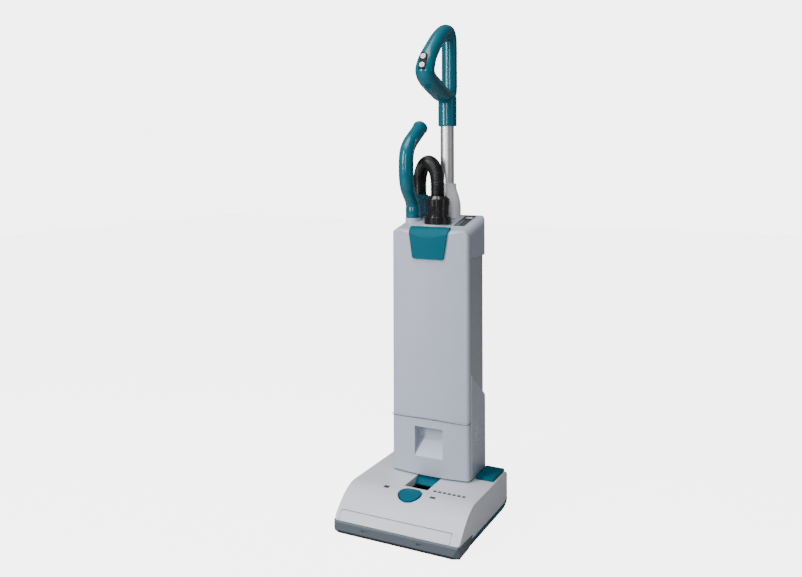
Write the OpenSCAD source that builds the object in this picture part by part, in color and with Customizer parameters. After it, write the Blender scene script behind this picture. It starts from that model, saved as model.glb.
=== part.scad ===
// Upright vacuum cleaner with a cordless power head, bag body and lift-out hose handle.
// Millimetres. +Z is up, -Y is the front, and the origin is on the floor under the middle.

/* [Head] */
// Width of the cleaning head over its bumper
head_w = 303; // [290:1:320]
// Length of the cleaning head
head_d = 342; // [336:1:348]
// Height of the head's deck above the floor
deck_z = 87; // [84:0.5:90]
// Height of the bumper's upper edge
bumper_z = 28; // [26:0.5:30]
// Length of the curved nose in front of the flat deck
nose_d = 112; // [106:1:118]
// Wall of the head's covers
head_wall = 2.5; // [2:0.1:3]
// Radius of the head's front corners, seen from above
head_corner_r = 12; // [8:1:18]
// How far the bumper stands out in front of the cover
bumper_t = 6; // [5:0.5:7]
// Ground clearance of the chassis
ground_gap = 6; // [5.5:0.25:6.5]

/* [Brush and wheels] */
// Radius over the brush roller's bristles
brush_r = 25; // [24:0.5:26]
// Radius of the brush roller's core
core_r = 17; // [15:0.5:18]
// Distance of the brush roller behind the bumper's front
brush_setback = 52; // [50:0.5:53]
// Gap between the bristles and the floor
bristle_gap = 1; // [0.5:0.25:2]
// Radius of a rear wheel over its tyre
rear_wheel_r = 32; // [30:0.5:33]
// Width of a rear wheel
rear_wheel_w = 22; // [18:1:24]
// Radius of a front roller
roller_r = 12; // [11:0.5:12.5]
// Width of a front roller
roller_w = 12; // [10:0.5:12.5]

/* [Body] */
// Distance from the bumper's front to the middle of the body's front face
body_setback = 202; // [198:1:206]
// Depth of the body at its middle
body_d = 164; // [162:1:168]
// Width of the body
body_w = 197; // [194:1:202]
// Gap between the body's underside and the deck
body_gap = 4; // [3:0.5:5]
// Height of the joint between the bag door and the lower housing
door_z = 226; // [222:1:230]
// Height of the joint between the rear housing and the top cap
cap_z = 612; // [606:1:618]
// Height of the body's top surface at its front face
top_z = 675; // [668:1:684]
// Slope of the body's top surface
top_slope = 11.8; // [10:0.2:13]
// Wall of the body's housings
wall = 3; // [2.5:0.1:3.4]
// Bulge of the body's front face at its middle
front_bulge = 9; // [7:0.5:11]
// Radius of the body's rear corners
rear_r = 45; // [40:1:48]

/* [Handle and pole] */
// Radius of the steel pole
pole_r = 17; // [16:0.25:17.5]
// Height of the lower end of the handle's sleeve
sleeve_z = 930; // [915:1:945]
// Radius of the handle's sleeve
sleeve_r = 23.3; // [22.5:0.1:24.5]
// Height of the middle of the handle's sleeve top
sleeve_top_z = 998; // [996:1:1000]
// Distance of the pole in front of the body's back
pole_inset = 34; // [33.8:0.1:34.4]
// Height of the collar that holds the pole
collar_h = 86; // [76:1:96]

/* [Hose] */
// Outer radius of the hose over its ribs
hose_r = 17.3; // [16.5:0.1:17.8]
// Bore radius of the hose
hose_bore_r = 12.5; // [11.5:0.1:13]
// Number of ribs on the hose, an even number
hose_ribs = 68; // [60:2:84]
// Radius of the hose handle's grip
cane_r = 18.5; // [17.5:0.25:19.5]
// Radius of the black hose cuff
cuff_r = 29.7; // [28:0.1:30.5]
// Radius of the cuff's flange
cuff_flange_r = 33.4; // [32:0.1:33.6]

/* [Controls] */
// Radius of the height dial's cap
dial_r = 25.5; // [23:0.5:27]
// Radius of a round button on the handle
button_r = 6.3; // [5.5:0.1:6.6]
// Travel of a button
button_travel = 1.2; // [1:0.1:1.5]
// Distance of the release pedal from the head's side
pedal_side = 7; // [5:0.5:12]

/* [Fits] */
// Running clearance of a pin or axle, on the radius
run = 0.05; // [0.03:0.01:0.08]
// Gap between pieces that move past each other or lie side by side
gap = 0.3; // [0.2:0.05:0.4]

/* [Hidden] */
$fn = 64;

// Frame: the front of the bumper and the back of the body
front_y = -(body_setback + body_d) / 2;
back_y = -front_y;
body_y = front_y + body_setback;
body_z = deck_z + body_gap;
head_end_y = front_y + head_d;
cover_w = head_w - 3;
cover_y = front_y + bumper_t;
corner_in_r = head_corner_r - 4;
rear_corner_r = 6;

// Lower edge of the head's sides, which curls up behind the wheels
chassis_wall_z = ground_gap + 11;
rise_y = head_end_y - 59;
rise_h = 18;
floor_t = 3;
floor_z = ground_gap + floor_t;

bumper_end_y = front_y + 86;

// Brush roller, motor and belt
brush_y = front_y + brush_setback;
brush_z = brush_r + bristle_gap;
tunnel_r = brush_r + 1.5;
tunnel_t = 1.5;
core_x = cover_w / 2 - 21.5;
bearing_x = core_x + 2;
bearing_t = 8;
journal_r = 5;
motor_y = front_y + 124;
motor_z = 40;
brush_motor_r = 20;
belt_t = 1.6;
belt_w = 8;
belt_x = -core_x + 7.5;
pulley_r = 20;
pinion_r = 8;
mouth_y = brush_y - 21.5;
mouth_d = 43;
sole_y = mouth_y - 8;
sole_z = ground_gap - 3;
screw_r = 1.6;
screw_places = [
    for (sx = [-1, 1], y = [sole_y + 7, mouth_y + mouth_d + 4]) [sx * (cover_w / 2 - 10), y]
];

// Air duct in the head, from the brush tunnel to the neck
duct_w = 56;
duct_z = 12;
duct_h = 28;

// Rear wheels
arm_x = body_w / 2 + 2;
arm_wall = 2;
wheel_x = (arm_x + arm_wall + cover_w / 2 - head_wall) / 2;
wheel_y = head_end_y - rear_wheel_r - 7;
axle_r = 4;
hub_r = rear_wheel_r - 6;

// Front rollers and their sliding carriage
roller_x = cover_w / 2 - 52;
roller_y = brush_y + 41;
fork_t = 3;
fork_d = 20;
roller_axle_r = 2;
rod_z = 46;
rod_s = 6;

// Height dial
dial_y = front_y + 92;
dial_pocket_r = dial_r + 2.5;
dial_floor_z = deck_z - 21;
dial_edge = 22;
spindle_r = 5;

// Look-in window in the deck
window_w = 58;
window_y = front_y + 126;
window_d = 86;
well_z = duct_z + duct_h + 5;

// Hinge between the body and the head
hinge_y = back_y - 45;
hinge_z = 58;
neck_r = 30;
neck_w = 116;
trunnion_r = 8;
notch_y = hinge_y - 48;

// Release pedal
pedal_x0 = arm_x + 0.8;
pedal_x1 = cover_w / 2 - pedal_side;
pedal_y = head_end_y - 88;
pedal_z = deck_z - 3;
pedal_pin_r = 2.5;
pedal_end_y = head_end_y - 3;
pocket_z = 2 * rear_wheel_r + 4;

// Body housings
corner_r = 10;
door_y = body_y + 24;
mid_back_y = back_y - 14;
side_step = 1;
ridge_front_z = 337;
ridge_slope = 0.66;
top_front_r = 22;
top_side_r = 16;
top_back_r = 12;

// Front grip recess
grip_w = 71;
grip_z = 134;
grip_h = 71;
grip_depth = 30;

// Suction unit
fan_x = 18;
fan_y = back_y - 66;
fan_z = door_z - 26.3;
fan_r = 48;
motor_can_r = 40;
motor_can_z = 118;

// Air pipe and its port, on the left
port_x = 24.5 - body_w / 2;
port_y = body_y + 85;
port_z = 700;
pipe_r = 17;
pipe_bore_r = 15;
foot_z = body_z + wall + 0.2;
foot_h = 17.6;

// Hose cuff and pole on the top cap
cuff_y = body_y + 63;
cuff_z = 688;
cuff_top_z = 757;
inlet_r = 14;
bag_top_z = 624;
pole_y = back_y - pole_inset;
collar_z = 700;
collar_r = pole_inset - 0.6;
socket_y = port_y + 44;
socket_r = 22;
sleeve_y = pole_y + 2;

// Bag and filter between the air pipe and the right wall
bag_x0 = port_x + pipe_r + 5;
bag_x1 = body_w / 2 - wall - 7.5;

// Batteries
bay_w = 84;
bay_z = 292;
bay_h = 280;
bay_y = mid_back_y - side_step - wall - 58;
cover_axis_y = mid_back_y - side_step - wall / 2;
cover_axis_z = bay_z + bay_h - 2.1;

// Bag door and latch
door_axis_y = body_y + 3;
door_axis_z = door_z + 3.5;
latch_z = 608;
latch_low_w = 79;
latch_top_w = 101;
latch_t = 5;
latch_axis_y = body_y + 20;
latch_axis_z = top_z - 6;
latch_ears = [-30, 30];

// Points of the hose's middle line behind the cuff's axis, its two ends straight: [x, y, z]
hose_route = [
    [0, 0, 757], [0, 0, 774], [0, 0, 791], [-3, 3, 808], [-11, 10, 824], [-22, 20, 835],
    [-37, 33, 840], [-52, 46, 835], [-63, 56, 824], [-71, 63, 808], [-74, 66, 791],
    [-74, 66, 774], [-74, 66, 757]
];

// Middle line of the hose handle's grip, from the port's axis: [y, z]
cane_route = [
    [0, 718], [0, 736], [-7, 754], [-22, 770], [-36, 785], [-43, 804], [-44, 828], [-43, 850],
    [-36, 870], [-20, 887], [2, 901], [26, 915], [50, 930]
];

// Middle line of the closed handle loop, from the sleeve's axis: [y, z, half width, half thickness]
loop_route = [
    [14, 1030, 16, 16], [14, 1080, 16, 16], [14, 1125, 16, 16], [12, 1152, 16, 16],
    [3, 1169, 15.5, 15.5], [-17, 1170, 15, 15.5], [-42, 1158, 14.5, 16], [-72, 1138, 14.5, 16],
    [-102, 1114, 15, 16], [-126, 1094, 16.5, 16.5], [-140, 1076, 18, 17], [-146, 1058, 18.5, 18],
    [-134, 1044, 19.5, 20], [-109, 1033, 20, 21.5], [-76, 1021, 20.5, 22], [-44, 1010, 20, 20],
    [-9, 1006, 17, 15], [11, 1012, 18, 18]
];

// Buttons on the front of the handle loop
pad_y = sleeve_y - 160;
pad_z = 1081;
pad_tilt = 72;
button_gap = 11;

/* Shared shapes */

// Points of an arc
function arc(c, r, a0, a1, n = 8) =
    [for (i = [0 : n]) c + r * [cos(a0 + (a1 - a0) * i / n), sin(a0 + (a1 - a0) * i / n)]];

// Smooth curve through a list of points, with k steps between neighbours
function spline_at(p0, p1, p2, p3, t) =
    0.5 * (2 * p1 + (p2 - p0) * t + (2 * p0 - 5 * p1 + 4 * p2 - p3) * t * t
    + (3 * p1 - p0 - 3 * p2 + p3) * t * t * t);
function spline_open(p, k) = concat([
    for (i = [0 : len(p) - 2], j = [0 : k - 1])
        spline_at(p[max(i - 1, 0)], p[i], p[i + 1], p[min(i + 2, len(p) - 1)], j / k)
], [p[len(p) - 1]]);
function spline_point(p, u) =
    let (i = min(floor(u), len(p) - 2))
    spline_at(p[max(i - 1, 0)], p[i], p[i + 1], p[min(i + 2, len(p) - 1)], u - i);
function spline_closed(p, k) = let (n = len(p)) [
    for (i = [0 : n - 1], j = [0 : k - 1])
        spline_at(p[(i + n - 1) % n], p[i], p[(i + 1) % n], p[(i + 2) % n], j / k)
];
function unit(v) = v / norm(v);

// Triangles of a band of rings with m points each
function band(rings, m, closed = false, flip = false, first = 0) = [
    for (i = [0 : rings - (closed ? 1 : 2)], j = [0 : m - 1], half = [0, 1])
        let (
            a = first + i * m + j,
            b = first + i * m + (j + 1) % m,
            c = first + ((i + 1) % rings) * m + (j + 1) % m,
            d = first + ((i + 1) % rings) * m + j,
            f = half == 0 ? [a, b, c] : [a, c, d]
        ) flip ? [f[2], f[1], f[0]] : f
];

// Extrudes a drawing in Y and Z between two values of X
module along_x(x0, x1) {
    translate([x0, 0, 0]) rotate([90, 0, 90]) linear_extrude(x1 - x0) children();
}

// Extrudes a drawing in X and Z between two values of Y
module along_y(y0, y1) {
    translate([0, y1, 0]) rotate([90, 0, 0]) linear_extrude(y1 - y0) children();
}

module rod_x(x0, x1, y, z, r) {
    translate([x0, y, z]) rotate([0, 90, 0]) cylinder(h = x1 - x0, r = r);
}

module rod_z(x, y, z0, z1, r) {
    translate([x, y, z0]) cylinder(h = z1 - z0, r = r);
}

module block(x0, x1, y0, y1, z0, z1) {
    translate([x0, y0, z0]) cube([x1 - x0, y1 - y0, z1 - z0]);
}

// Copies its children to both sides
module both_sides() {
    children();
    mirror([1, 0, 0]) children();
}

/* Head shapes */

// Height of the deck at a distance behind the bumper's front
function deck_at(y) = let (t = (y - cover_y) / (front_y + nose_d - cover_y))
    t < 0 ? bumper_z : t > 1 ? deck_z : bumper_z + (deck_z - bumper_z) * (1 - pow(1 - t, 2));

// Points of the head's lower edge behind rise_y, at a height in front of it
function lower_edge(z) = [
    for (i = [0 : 8]) [rise_y + (head_end_y - rise_y) * i / 8, z + rise_h * pow(i / 8, 4)]
];
function turned(p) = [for (i = [len(p) - 1 : -1 : 0]) p[i]];

// Outline of the head seen from above, drawn in by t
module head_outline(t) {
    polygon(concat(
        arc([cover_w / 2 - corner_in_r, cover_y + corner_in_r], corner_in_r - t, -90, 0),
        arc([cover_w / 2 - rear_corner_r, head_end_y - rear_corner_r], rear_corner_r - t, 0, 90),
        arc([rear_corner_r - cover_w / 2, head_end_y - rear_corner_r], rear_corner_r - t, 90, 180),
        arc([corner_in_r - cover_w / 2, cover_y + corner_in_r], corner_in_r - t, 180, 270)
    ));
}

// Side outline of the covers, drawn in by t at the front and the top
module deck_profile(t) {
    steps = 16;
    nose = front_y + nose_d - cover_y;
    low_z = chassis_wall_z + gap - 4 * t;
    polygon(concat(
        [[cover_y + t, low_z]],
        [for (i = [0 : steps]) [cover_y + nose * i / steps + t * (1 - i / steps),
            deck_at(cover_y + nose * i / steps) - t]],
        [[head_end_y - t - 10, deck_z - t], [head_end_y - t, deck_z - t - 12],
            [head_end_y - t, low_z + rise_h]],
        turned(lower_edge(low_z))
    ));
}

module deck_solid(t) {
    intersection() {
        linear_extrude(deck_z + 10) head_outline(t);
        along_x(-head_w, head_w) deck_profile(t);
    }
}

// The strip in front that lifts off above the bumper, ending nearer to the left side
module front_cover_zone(t) {
    block(11 - cover_w / 2 + t, cover_w / 2 - 23 - t, front_y - 10, front_y + 60,
        chassis_wall_z, bumper_z + 18 - t);
}

// Space inside the head above its floor
module above_floor() {
    along_x(-head_w, head_w) polygon(concat(
        [[cover_y, floor_z]], lower_edge(floor_z), [[head_end_y, deck_z], [cover_y, deck_z]]
    ));
}

/* Head pieces */

module head_chassis() {
    color("#0b5d70") difference() {
        intersection() {
            linear_extrude(deck_z) head_outline(0);
            along_x(-head_w, head_w) polygon(concat(
                [[cover_y, ground_gap]], lower_edge(ground_gap), turned(lower_edge(chassis_wall_z)),
                [[cover_y, chassis_wall_z]]
            ));
        }
        intersection() {
            linear_extrude(deck_z) head_outline(3);
            above_floor();
        }
        block(-core_x - 4, core_x + 4, mouth_y, mouth_y + mouth_d, 0, deck_z);
        block(-neck_w / 2 - 3, neck_w / 2 + 3, head_end_y - 4, back_y,
            floor_z + rise_h + 1.5, deck_z);
        both_sides() {
            block(wheel_x - rear_wheel_w / 2 - 2, wheel_x + rear_wheel_w / 2 + 2,
                wheel_y - rear_wheel_r - 2, wheel_y + rear_wheel_r + 2, 0, deck_z);
            block(roller_x - roller_w / 2 - fork_t - gap - 0.5, roller_x + roller_w / 2 + fork_t + gap + 0.5,
                roller_y - fork_d / 2 - gap, roller_y + fork_d / 2 + gap, 0, deck_z);
            block(roller_x - roller_w / 2 - gap, roller_x + roller_w / 2 + gap,
                roller_y - roller_r - 1, roller_y + roller_r + 1, 0, deck_z);
        }
        for (p = screw_places) rod_z(p[0], p[1], 0, 20, screw_r + 0.1);
    }
}

module head_cover() {
    color("#cfd2d6") difference() {
        union() {
            difference() {
                deck_solid(0);
                deck_solid(head_wall);
            }
            // Well of the window, cup of the dial, inner walls of the rear arms, pedal's pocket
            intersection() {
                deck_solid(0);
                union() {
                    block(-window_w / 2 - 2, window_w / 2 + 2, window_y - 2, window_y + window_d + 2,
                        well_z, deck_z);
                    rod_z(0, dial_y, dial_floor_z - 2.5, deck_z, dial_pocket_r + 2);
                    both_sides()
                        block(arm_x, arm_x + arm_wall, notch_y - 2, head_end_y,
                            chassis_wall_z + 10, deck_z);
                    block(arm_x, pedal_x1 + 3, pedal_y - 8, head_end_y, pocket_z - 2.5, deck_z);
                }
            }
        }
        front_cover_zone(0);
        // Notch that the body's neck swings in
        block(-arm_x, arm_x, notch_y, back_y, 0, deck_z + 5);
        block(-window_w / 2, window_w / 2, window_y, window_y + window_d, 0, deck_z + 5);
        rod_z(0, dial_y, dial_floor_z, deck_z + 5, dial_pocket_r);
        rod_z(0, dial_y, 0, deck_z, spindle_r + run);
        block(arm_x - 1, pedal_x1 + 1, pedal_y - 6, head_end_y + 5, pocket_z, deck_z + 5);
        rod_x(arm_x - 1, pedal_x1 + 2.5, pedal_y, pedal_z, pedal_pin_r);
    }
}

module front_cover() {
    color("#d9dbdf") intersection() {
        difference() {
            deck_solid(0);
            deck_solid(head_wall);
        }
        front_cover_zone(gap);
    }
}

module bumper_outline(t) {
    polygon(concat(
        arc([head_w / 2 - head_corner_r, front_y + head_corner_r], head_corner_r - t, -90, 0, 10),
        [[head_w / 2 - t, bumper_end_y], [t - head_w / 2, bumper_end_y]],
        arc([head_corner_r - head_w / 2, front_y + head_corner_r], head_corner_r - t, 180, 270, 10)
    ));
}

// Sloping cuts that take off the bumper's lower front corners
module corner_cuts() {
    r = head_corner_r;
    both_sides() translate([head_w / 2 - r, front_y + r, 0]) rotate(-59) rotate([90, 0, 0])
        linear_extrude(80, center = true)
            polygon([[r - 5, -1], [r + 0.5, bumper_z - 2], [r + 30, bumper_z - 2], [r + 30, -1]]);
}

module bumper() {
    color("#66727f") difference() {
        intersection() {
            linear_extrude(bumper_z) bumper_outline(0);
            along_x(-head_w, head_w) polygon([
                [front_y, 8], [front_y + 3, 5], [bumper_end_y - 25, 6], [bumper_end_y, bumper_z - 3],
                [front_y + 40, bumper_z - 1], [front_y + 4, bumper_z], [front_y + 1.5, bumper_z - 3]
            ]);
        }
        linear_extrude(3 * bumper_z, center = true) head_outline(-gap);
        for (x = [-71, 61]) block(x - 7, x + 7, front_y - 1, front_y + 3, 15, 18.5);
        corner_cuts();
    }
}

module bumper_lip() {
    color("#1b1d20") difference() {
        intersection() {
            translate([0, 0, 2]) linear_extrude(2.9) bumper_outline(1);
            block(-head_w, head_w, front_y, front_y + 12, 0, 10);
        }
        corner_cuts();
    }
}

module sole_plate() {
    color("#24272b") difference() {
        block(-cover_w / 2 + 4, cover_w / 2 - 4, sole_y, roller_y - fork_d / 2 - 2,
            sole_z, ground_gap);
        block(-core_x - 2, core_x + 2, brush_y - 18, brush_y + 18, 0, ground_gap + 1);
        for (p = screw_places) {
            rod_z(p[0], p[1], 0, 20, screw_r + 0.1);
            rod_z(p[0], p[1], 0, sole_z + 1.5, 2 * screw_r + 0.2);
        }
    }
}

module sole_screws() {
    color("#9a9da1") for (p = screw_places) {
        rod_z(p[0], p[1], sole_z + 0.2, sole_z + 1.5, 2 * screw_r);
        rod_z(p[0], p[1], sole_z + 1.4, sole_z + 15, screw_r);
    }
}

module air_duct() {
    duct_x = duct_w / 2;
    color("#17191b") difference() {
        union() {
            along_x(-core_x + 16, core_x) difference() {
                translate([brush_y, brush_z]) circle(tunnel_r + tunnel_t);
                translate([brush_y - 50, -60]) square([100, 60 + floor_z]);
            }
            block(-duct_x, duct_x, brush_y + tunnel_r - 3, hinge_y - neck_r - 2, duct_z, duct_z + duct_h);
        }
        rod_x(-core_x, core_x + 10, brush_y, brush_z, tunnel_r);
        block(-duct_x + 2, duct_x - 2, brush_y + 10, hinge_y, duct_z + 2, duct_z + duct_h - 2);
    }
}

module window_ramp() {
    x = window_w / 2 - gap;
    end_y = window_y + window_d;
    color("#0b6c80") along_x(-x, x) polygon([
        [end_y - gap, deck_z - 0.5], [end_y - gap, well_z - 3], [end_y - 3, well_z - 3],
        [end_y - 3, deck_z - 6], [end_y - 21.5, deck_z - 17.5], [end_y - 23, deck_z - 14.5],
        [end_y - 4.5, deck_z - 2.5]
    ]);
}

module brush_bearings() {
    color("#24272b") for (x = [-bearing_x - bearing_t, bearing_x]) difference() {
        block(x, x + bearing_t, brush_y - 12, brush_y + 12, floor_z, brush_z + 12);
        rod_x(x - 1, x + bearing_t + 1, brush_y, brush_z, journal_r + run);
    }
}

module brush_core() {
    color("#3a3d41") {
        rod_x(-core_x, core_x, brush_y, brush_z, core_r);
        rod_x(-bearing_x - bearing_t + 1, bearing_x + bearing_t - 1, brush_y, brush_z, journal_r);
    }
}

module brush_bristles() {
    bristle_w = 2 * core_x - 34;
    color("#2b2f33") translate([core_x - 12 - bristle_w, brush_y, brush_z]) rotate([0, 90, 0])
        for (a = [0, 180]) rotate(a) linear_extrude(bristle_w, twist = 200, slices = 26, $fn = 4)
            translate([core_r + gap, -3]) square([brush_r - core_r - gap - 0.1, 6]);
}

module brush_pulley() {
    color("#51565b") difference() {
        union() {
            rod_x(belt_x - belt_w / 2 - 2, belt_x + belt_w / 2 + 2, brush_y, brush_z, pulley_r);
            for (x = [belt_x - belt_w / 2 - 2, belt_x + belt_w / 2 + 0.5])
                rod_x(x, x + 1.5, brush_y, brush_z, pulley_r + 2);
        }
        rod_x(-core_x - 1, 0, brush_y, brush_z, core_r + run);
    }
}

module brush_motor() {
    motor_x1 = belt_x + belt_w / 2 + 6;
    color("#4a4d52") {
        rod_x(motor_x1, motor_x1 + 70, motor_y, motor_z, brush_motor_r);
        block(motor_x1 + 6, motor_x1 + 64, motor_y - 14, motor_y + 14, floor_z, motor_z);
    }
}

module motor_pinion() {
    color("#8b8f94") {
        rod_x(belt_x - belt_w / 2 - 2, belt_x + belt_w / 2 + 2, motor_y, motor_z, pinion_r);
        rod_x(belt_x, belt_x + belt_w / 2 + 5.7, motor_y, motor_z, 3);
    }
}

// Outline of a belt round both pulleys, grown by g from their rims
module belt_loop(g) {
    d = [motor_y - brush_y, motor_z - brush_z];
    a = atan2(d[1], d[0]);
    b = acos((pulley_r - pinion_r) / norm(d));
    polygon(concat(
        arc([brush_y, brush_z], pulley_r + g, a + b, a + 360 - b, 24),
        arc([motor_y, motor_z], pinion_r + g, a - b, a + b, 12)
    ));
}

module drive_belt() {
    color("#1b1d20") along_x(belt_x - belt_w / 2, belt_x + belt_w / 2) difference() {
        belt_loop(gap + belt_t);
        belt_loop(gap);
    }
}

module neck_bearings() {
    x0 = neck_w / 2 + 3;
    color("#3a3d41") both_sides() difference() {
        union() {
            rod_x(x0, x0 + 20, hinge_y, hinge_z, 19);
            intersection() {
                block(x0, x0 + 20, hinge_y - 16, hinge_y + 16, ground_gap, hinge_z);
                above_floor();
            }
        }
        rod_x(x0 - 1, x0 + 21, hinge_y, hinge_z, trunnion_r + run);
    }
}

module rear_axles() {
    color("#b9bcc0") both_sides()
        rod_x(arm_x + arm_wall, cover_w / 2 - head_wall, wheel_y, rear_wheel_r, axle_r);
}

module rear_hub(side) {
    color("#565b60") translate([side * wheel_x, wheel_y, rear_wheel_r]) rotate([0, 90, 0])
        difference() {
            cylinder(h = rear_wheel_w, r = hub_r, center = true);
            cylinder(h = rear_wheel_w + 2, r = axle_r + run, center = true);
            for (end = [-1, 1]) translate([0, 0, end * (rear_wheel_w / 2)])
                difference() {
                    cylinder(h = 6, r = hub_r - 4, center = true);
                    cylinder(h = 8, r = axle_r + 4, center = true);
                }
        }
}

module rear_tyre(side) {
    color("#26292c") translate([side * wheel_x, wheel_y, rear_wheel_r]) rotate([0, 90, 0])
        rotate_extrude() polygon([
            [hub_r, -rear_wheel_w / 2], [rear_wheel_r - 2, -rear_wheel_w / 2],
            [rear_wheel_r, -rear_wheel_w / 2 + 3], [rear_wheel_r, rear_wheel_w / 2 - 3],
            [rear_wheel_r - 2, rear_wheel_w / 2], [hub_r, rear_wheel_w / 2]
        ]);
}

module rear_hub_left() { rear_hub(-1); }
module rear_hub_right() { rear_hub(1); }
module rear_tyre_left() { rear_tyre(-1); }
module rear_tyre_right() { rear_tyre(1); }

module front_carriage() {
    in_x = roller_x - roller_w / 2 - 0.5;
    out_x = roller_x + roller_w / 2 + 0.5;
    color("#3a3d41") difference() {
        union() {
            both_sides() {
                for (x = [in_x - fork_t, out_x])
                    block(x, x + fork_t, roller_y - fork_d / 2, roller_y + fork_d / 2,
                        ground_gap + 2, rod_z + rod_s);
                block(in_x - fork_t, out_x + fork_t, roller_y - rod_s, roller_y + rod_s,
                    rod_z, rod_z + rod_s);
                rod_x(in_x - fork_t, out_x + fork_t, roller_y, roller_r, roller_axle_r);
            }
            block(-in_x, in_x, roller_y - rod_s, roller_y, rod_z, rod_z + rod_s);
            rod_z(0, dial_y, rod_z, rod_z + 9, spindle_r + 4);
        }
        rod_z(0, dial_y, rod_z - 1, rod_z + 10, spindle_r + gap);
    }
}

module front_roller(side) {
    color("#26292c") difference() {
        rod_x(side * roller_x - roller_w / 2, side * roller_x + roller_w / 2, roller_y, roller_r, roller_r);
        rod_x(side * roller_x - roller_w, side * roller_x + roller_w, roller_y, roller_r,
            roller_axle_r + run);
    }
}

module front_roller_left() { front_roller(-1); }
module front_roller_right() { front_roller(1); }

// The dial's cap follows the deck, with a straight edge at its rear
module height_dial() {
    steps = 8;
    color("#0b6c80") {
        intersection() {
            rod_z(0, dial_y, dial_floor_z + 1, deck_z + 5, dial_r);
            block(-dial_r, dial_r, dial_y - dial_r, dial_y + dial_edge, 0, deck_z + 5);
            along_x(-dial_r, dial_r) polygon(concat(
                [[dial_y - dial_r, 0]],
                [for (i = [0 : steps]) let (y = dial_y - dial_r + i * (dial_r + dial_edge) / steps)
                    [y, deck_at(y) + 1.5]],
                [[dial_y + dial_edge, 0]]
            ));
        }
        rod_z(0, dial_y, rod_z, dial_floor_z + 1.5, spindle_r);
        rod_z(0, dial_y, dial_floor_z + gap, dial_floor_z + 1.5, spindle_r + 5);
    }
}

module release_pedal() {
    top = deck_z + 9;
    color("#0b6c80") difference() {
        union() {
            along_x(pedal_x0, pedal_x1) polygon([
                [pedal_y - 3, pedal_z + 3], [pedal_y - 3, deck_z + 4], [pedal_y + 6, top - 2],
                [pedal_y + 30, top], [pedal_end_y - 14, top], [pedal_end_y - 4, top - 3],
                [pedal_end_y, top - 9], [pedal_end_y, deck_z - 3], [pedal_end_y - 3, deck_z - 3],
                [pedal_end_y - 4, top - 8], [pedal_end_y - 14, top - 4], [pedal_y + 12, top - 5]
            ]);
            for (x = [pedal_x0, pedal_x1 - 2.5]) along_x(x, x + 2.5) polygon([
                [pedal_y + 4, top - 3], [pedal_y + 30, top - 1], [pedal_end_y - 14, top - 1],
                [pedal_end_y - 5, top - 4], [pedal_end_y - 1, top - 9], [pedal_end_y - 1, deck_z - 3],
                [pedal_y + 4, deck_z - 3]
            ]);
            rod_x(pedal_x0 + 3, pedal_x1, pedal_y, pedal_z, pedal_pin_r + 2.5);
        }
        rod_x(pedal_x0 - 1, pedal_x1 + 1, pedal_y, pedal_z, pedal_pin_r + run);
    }
}

module pedal_pin() {
    color("#b9bcc0") rod_x(pedal_x0, pedal_x1 + 2.5, pedal_y, pedal_z, pedal_pin_r);
}

/* Body shapes */

// Outline of the body seen from above, drawn in by t, with its back at a given place
module body_outline(t, back) {
    half = body_w / 2 - corner_r;
    bow_r = (half * half + front_bulge * front_bulge) / (2 * front_bulge);
    bow_a = asin(half / bow_r);
    side_y = body_y + front_bulge + corner_r;
    polygon(concat(
        arc([0, body_y + bow_r], bow_r - t, 270 - bow_a, 270 + bow_a, 12),
        arc([half, side_y], corner_r - t, -90, 0, 5),
        arc([body_w / 2 - rear_r, back - rear_r], rear_r - t, 0, 90, 8),
        arc([rear_r - body_w / 2, back - rear_r], rear_r - t, 90, 180, 8),
        arc([-half, side_y], corner_r - t, 180, 270, 5)
    ));
}

// Height of the top surface
function top_at(y) = top_z + (y - body_y) * tan(top_slope);

// Whole body drawn in by t: the outline under a sloping top with rounded edges
module body_solid(t, back) {
    lift = t / cos(top_slope);
    front_c = [body_y + top_front_r, top_at(body_y + top_front_r) - top_front_r / cos(top_slope)];
    back_c = [back - top_back_r, top_at(back - top_back_r) - top_back_r / cos(top_slope)];
    intersection() {
        linear_extrude(top_z + 80) body_outline(t, back);
        along_x(-body_w, body_w) polygon(concat(
            [[body_y + t, 0]],
            arc(front_c, top_front_r - t, 180, 90 + top_slope),
            arc(back_c, top_back_r - t, 90 + top_slope, 0),
            [[back - t, 0]]
        ));
        translate([0, body_y, top_z - lift]) rotate([top_slope, 0, 0])
            along_y(-300, 400) polygon(concat(
                [[body_w / 2 - t, -top_z - 200]],
                arc([body_w / 2 - top_side_r, -top_side_r + t], top_side_r - t, 0, 90, 6),
                arc([top_side_r - body_w / 2, -top_side_r + t], top_side_r - t, 90, 180, 6),
                [[t - body_w / 2, -top_z - 200]]
            ));
    }
}

// Space of the lower housing: all below the door, and the sides below the ridge
module lower_zone(g) {
    along_x(-body_w, body_w) polygon([
        [body_y - 20, 0], [body_y - 20, door_z - g], [door_y + g, door_z - g],
        [door_y + g, ridge_front_z - g], [back_y + 20, ridge_front_z - g
            - (back_y + 20 - door_y) * ridge_slope],
        [back_y + 20, 0]
    ]);
}

module grip_pocket(grow) {
    along_x(-grip_w / 2 - grow, grip_w / 2 + grow) polygon([
        [body_y - 20, grip_z - grow], [body_y + 1, grip_z - grow],
        [body_y + grip_depth - 4 + grow, grip_z + grip_h / 2 - grow],
        [body_y + grip_depth + grow, grip_z + grip_h / 2 + 4],
        [body_y + grip_depth + grow, grip_z + grip_h + grow], [body_y - 20, grip_z + grip_h + grow]
    ]);
}

// Diamond of small holes in both side walls
module vent_holes() {
    vent_y = body_y + 66;
    vent_z = door_z - 33;
    pitch = 7;
    for (i = [-4 : 4], j = [-4 : 4])
        if (abs(i) + abs(j) <= 4)
            rod_x(-body_w, body_w, vent_y + i * pitch * 0.8, vent_z + j * pitch, 1.6);
}

/* Body pieces */

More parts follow.
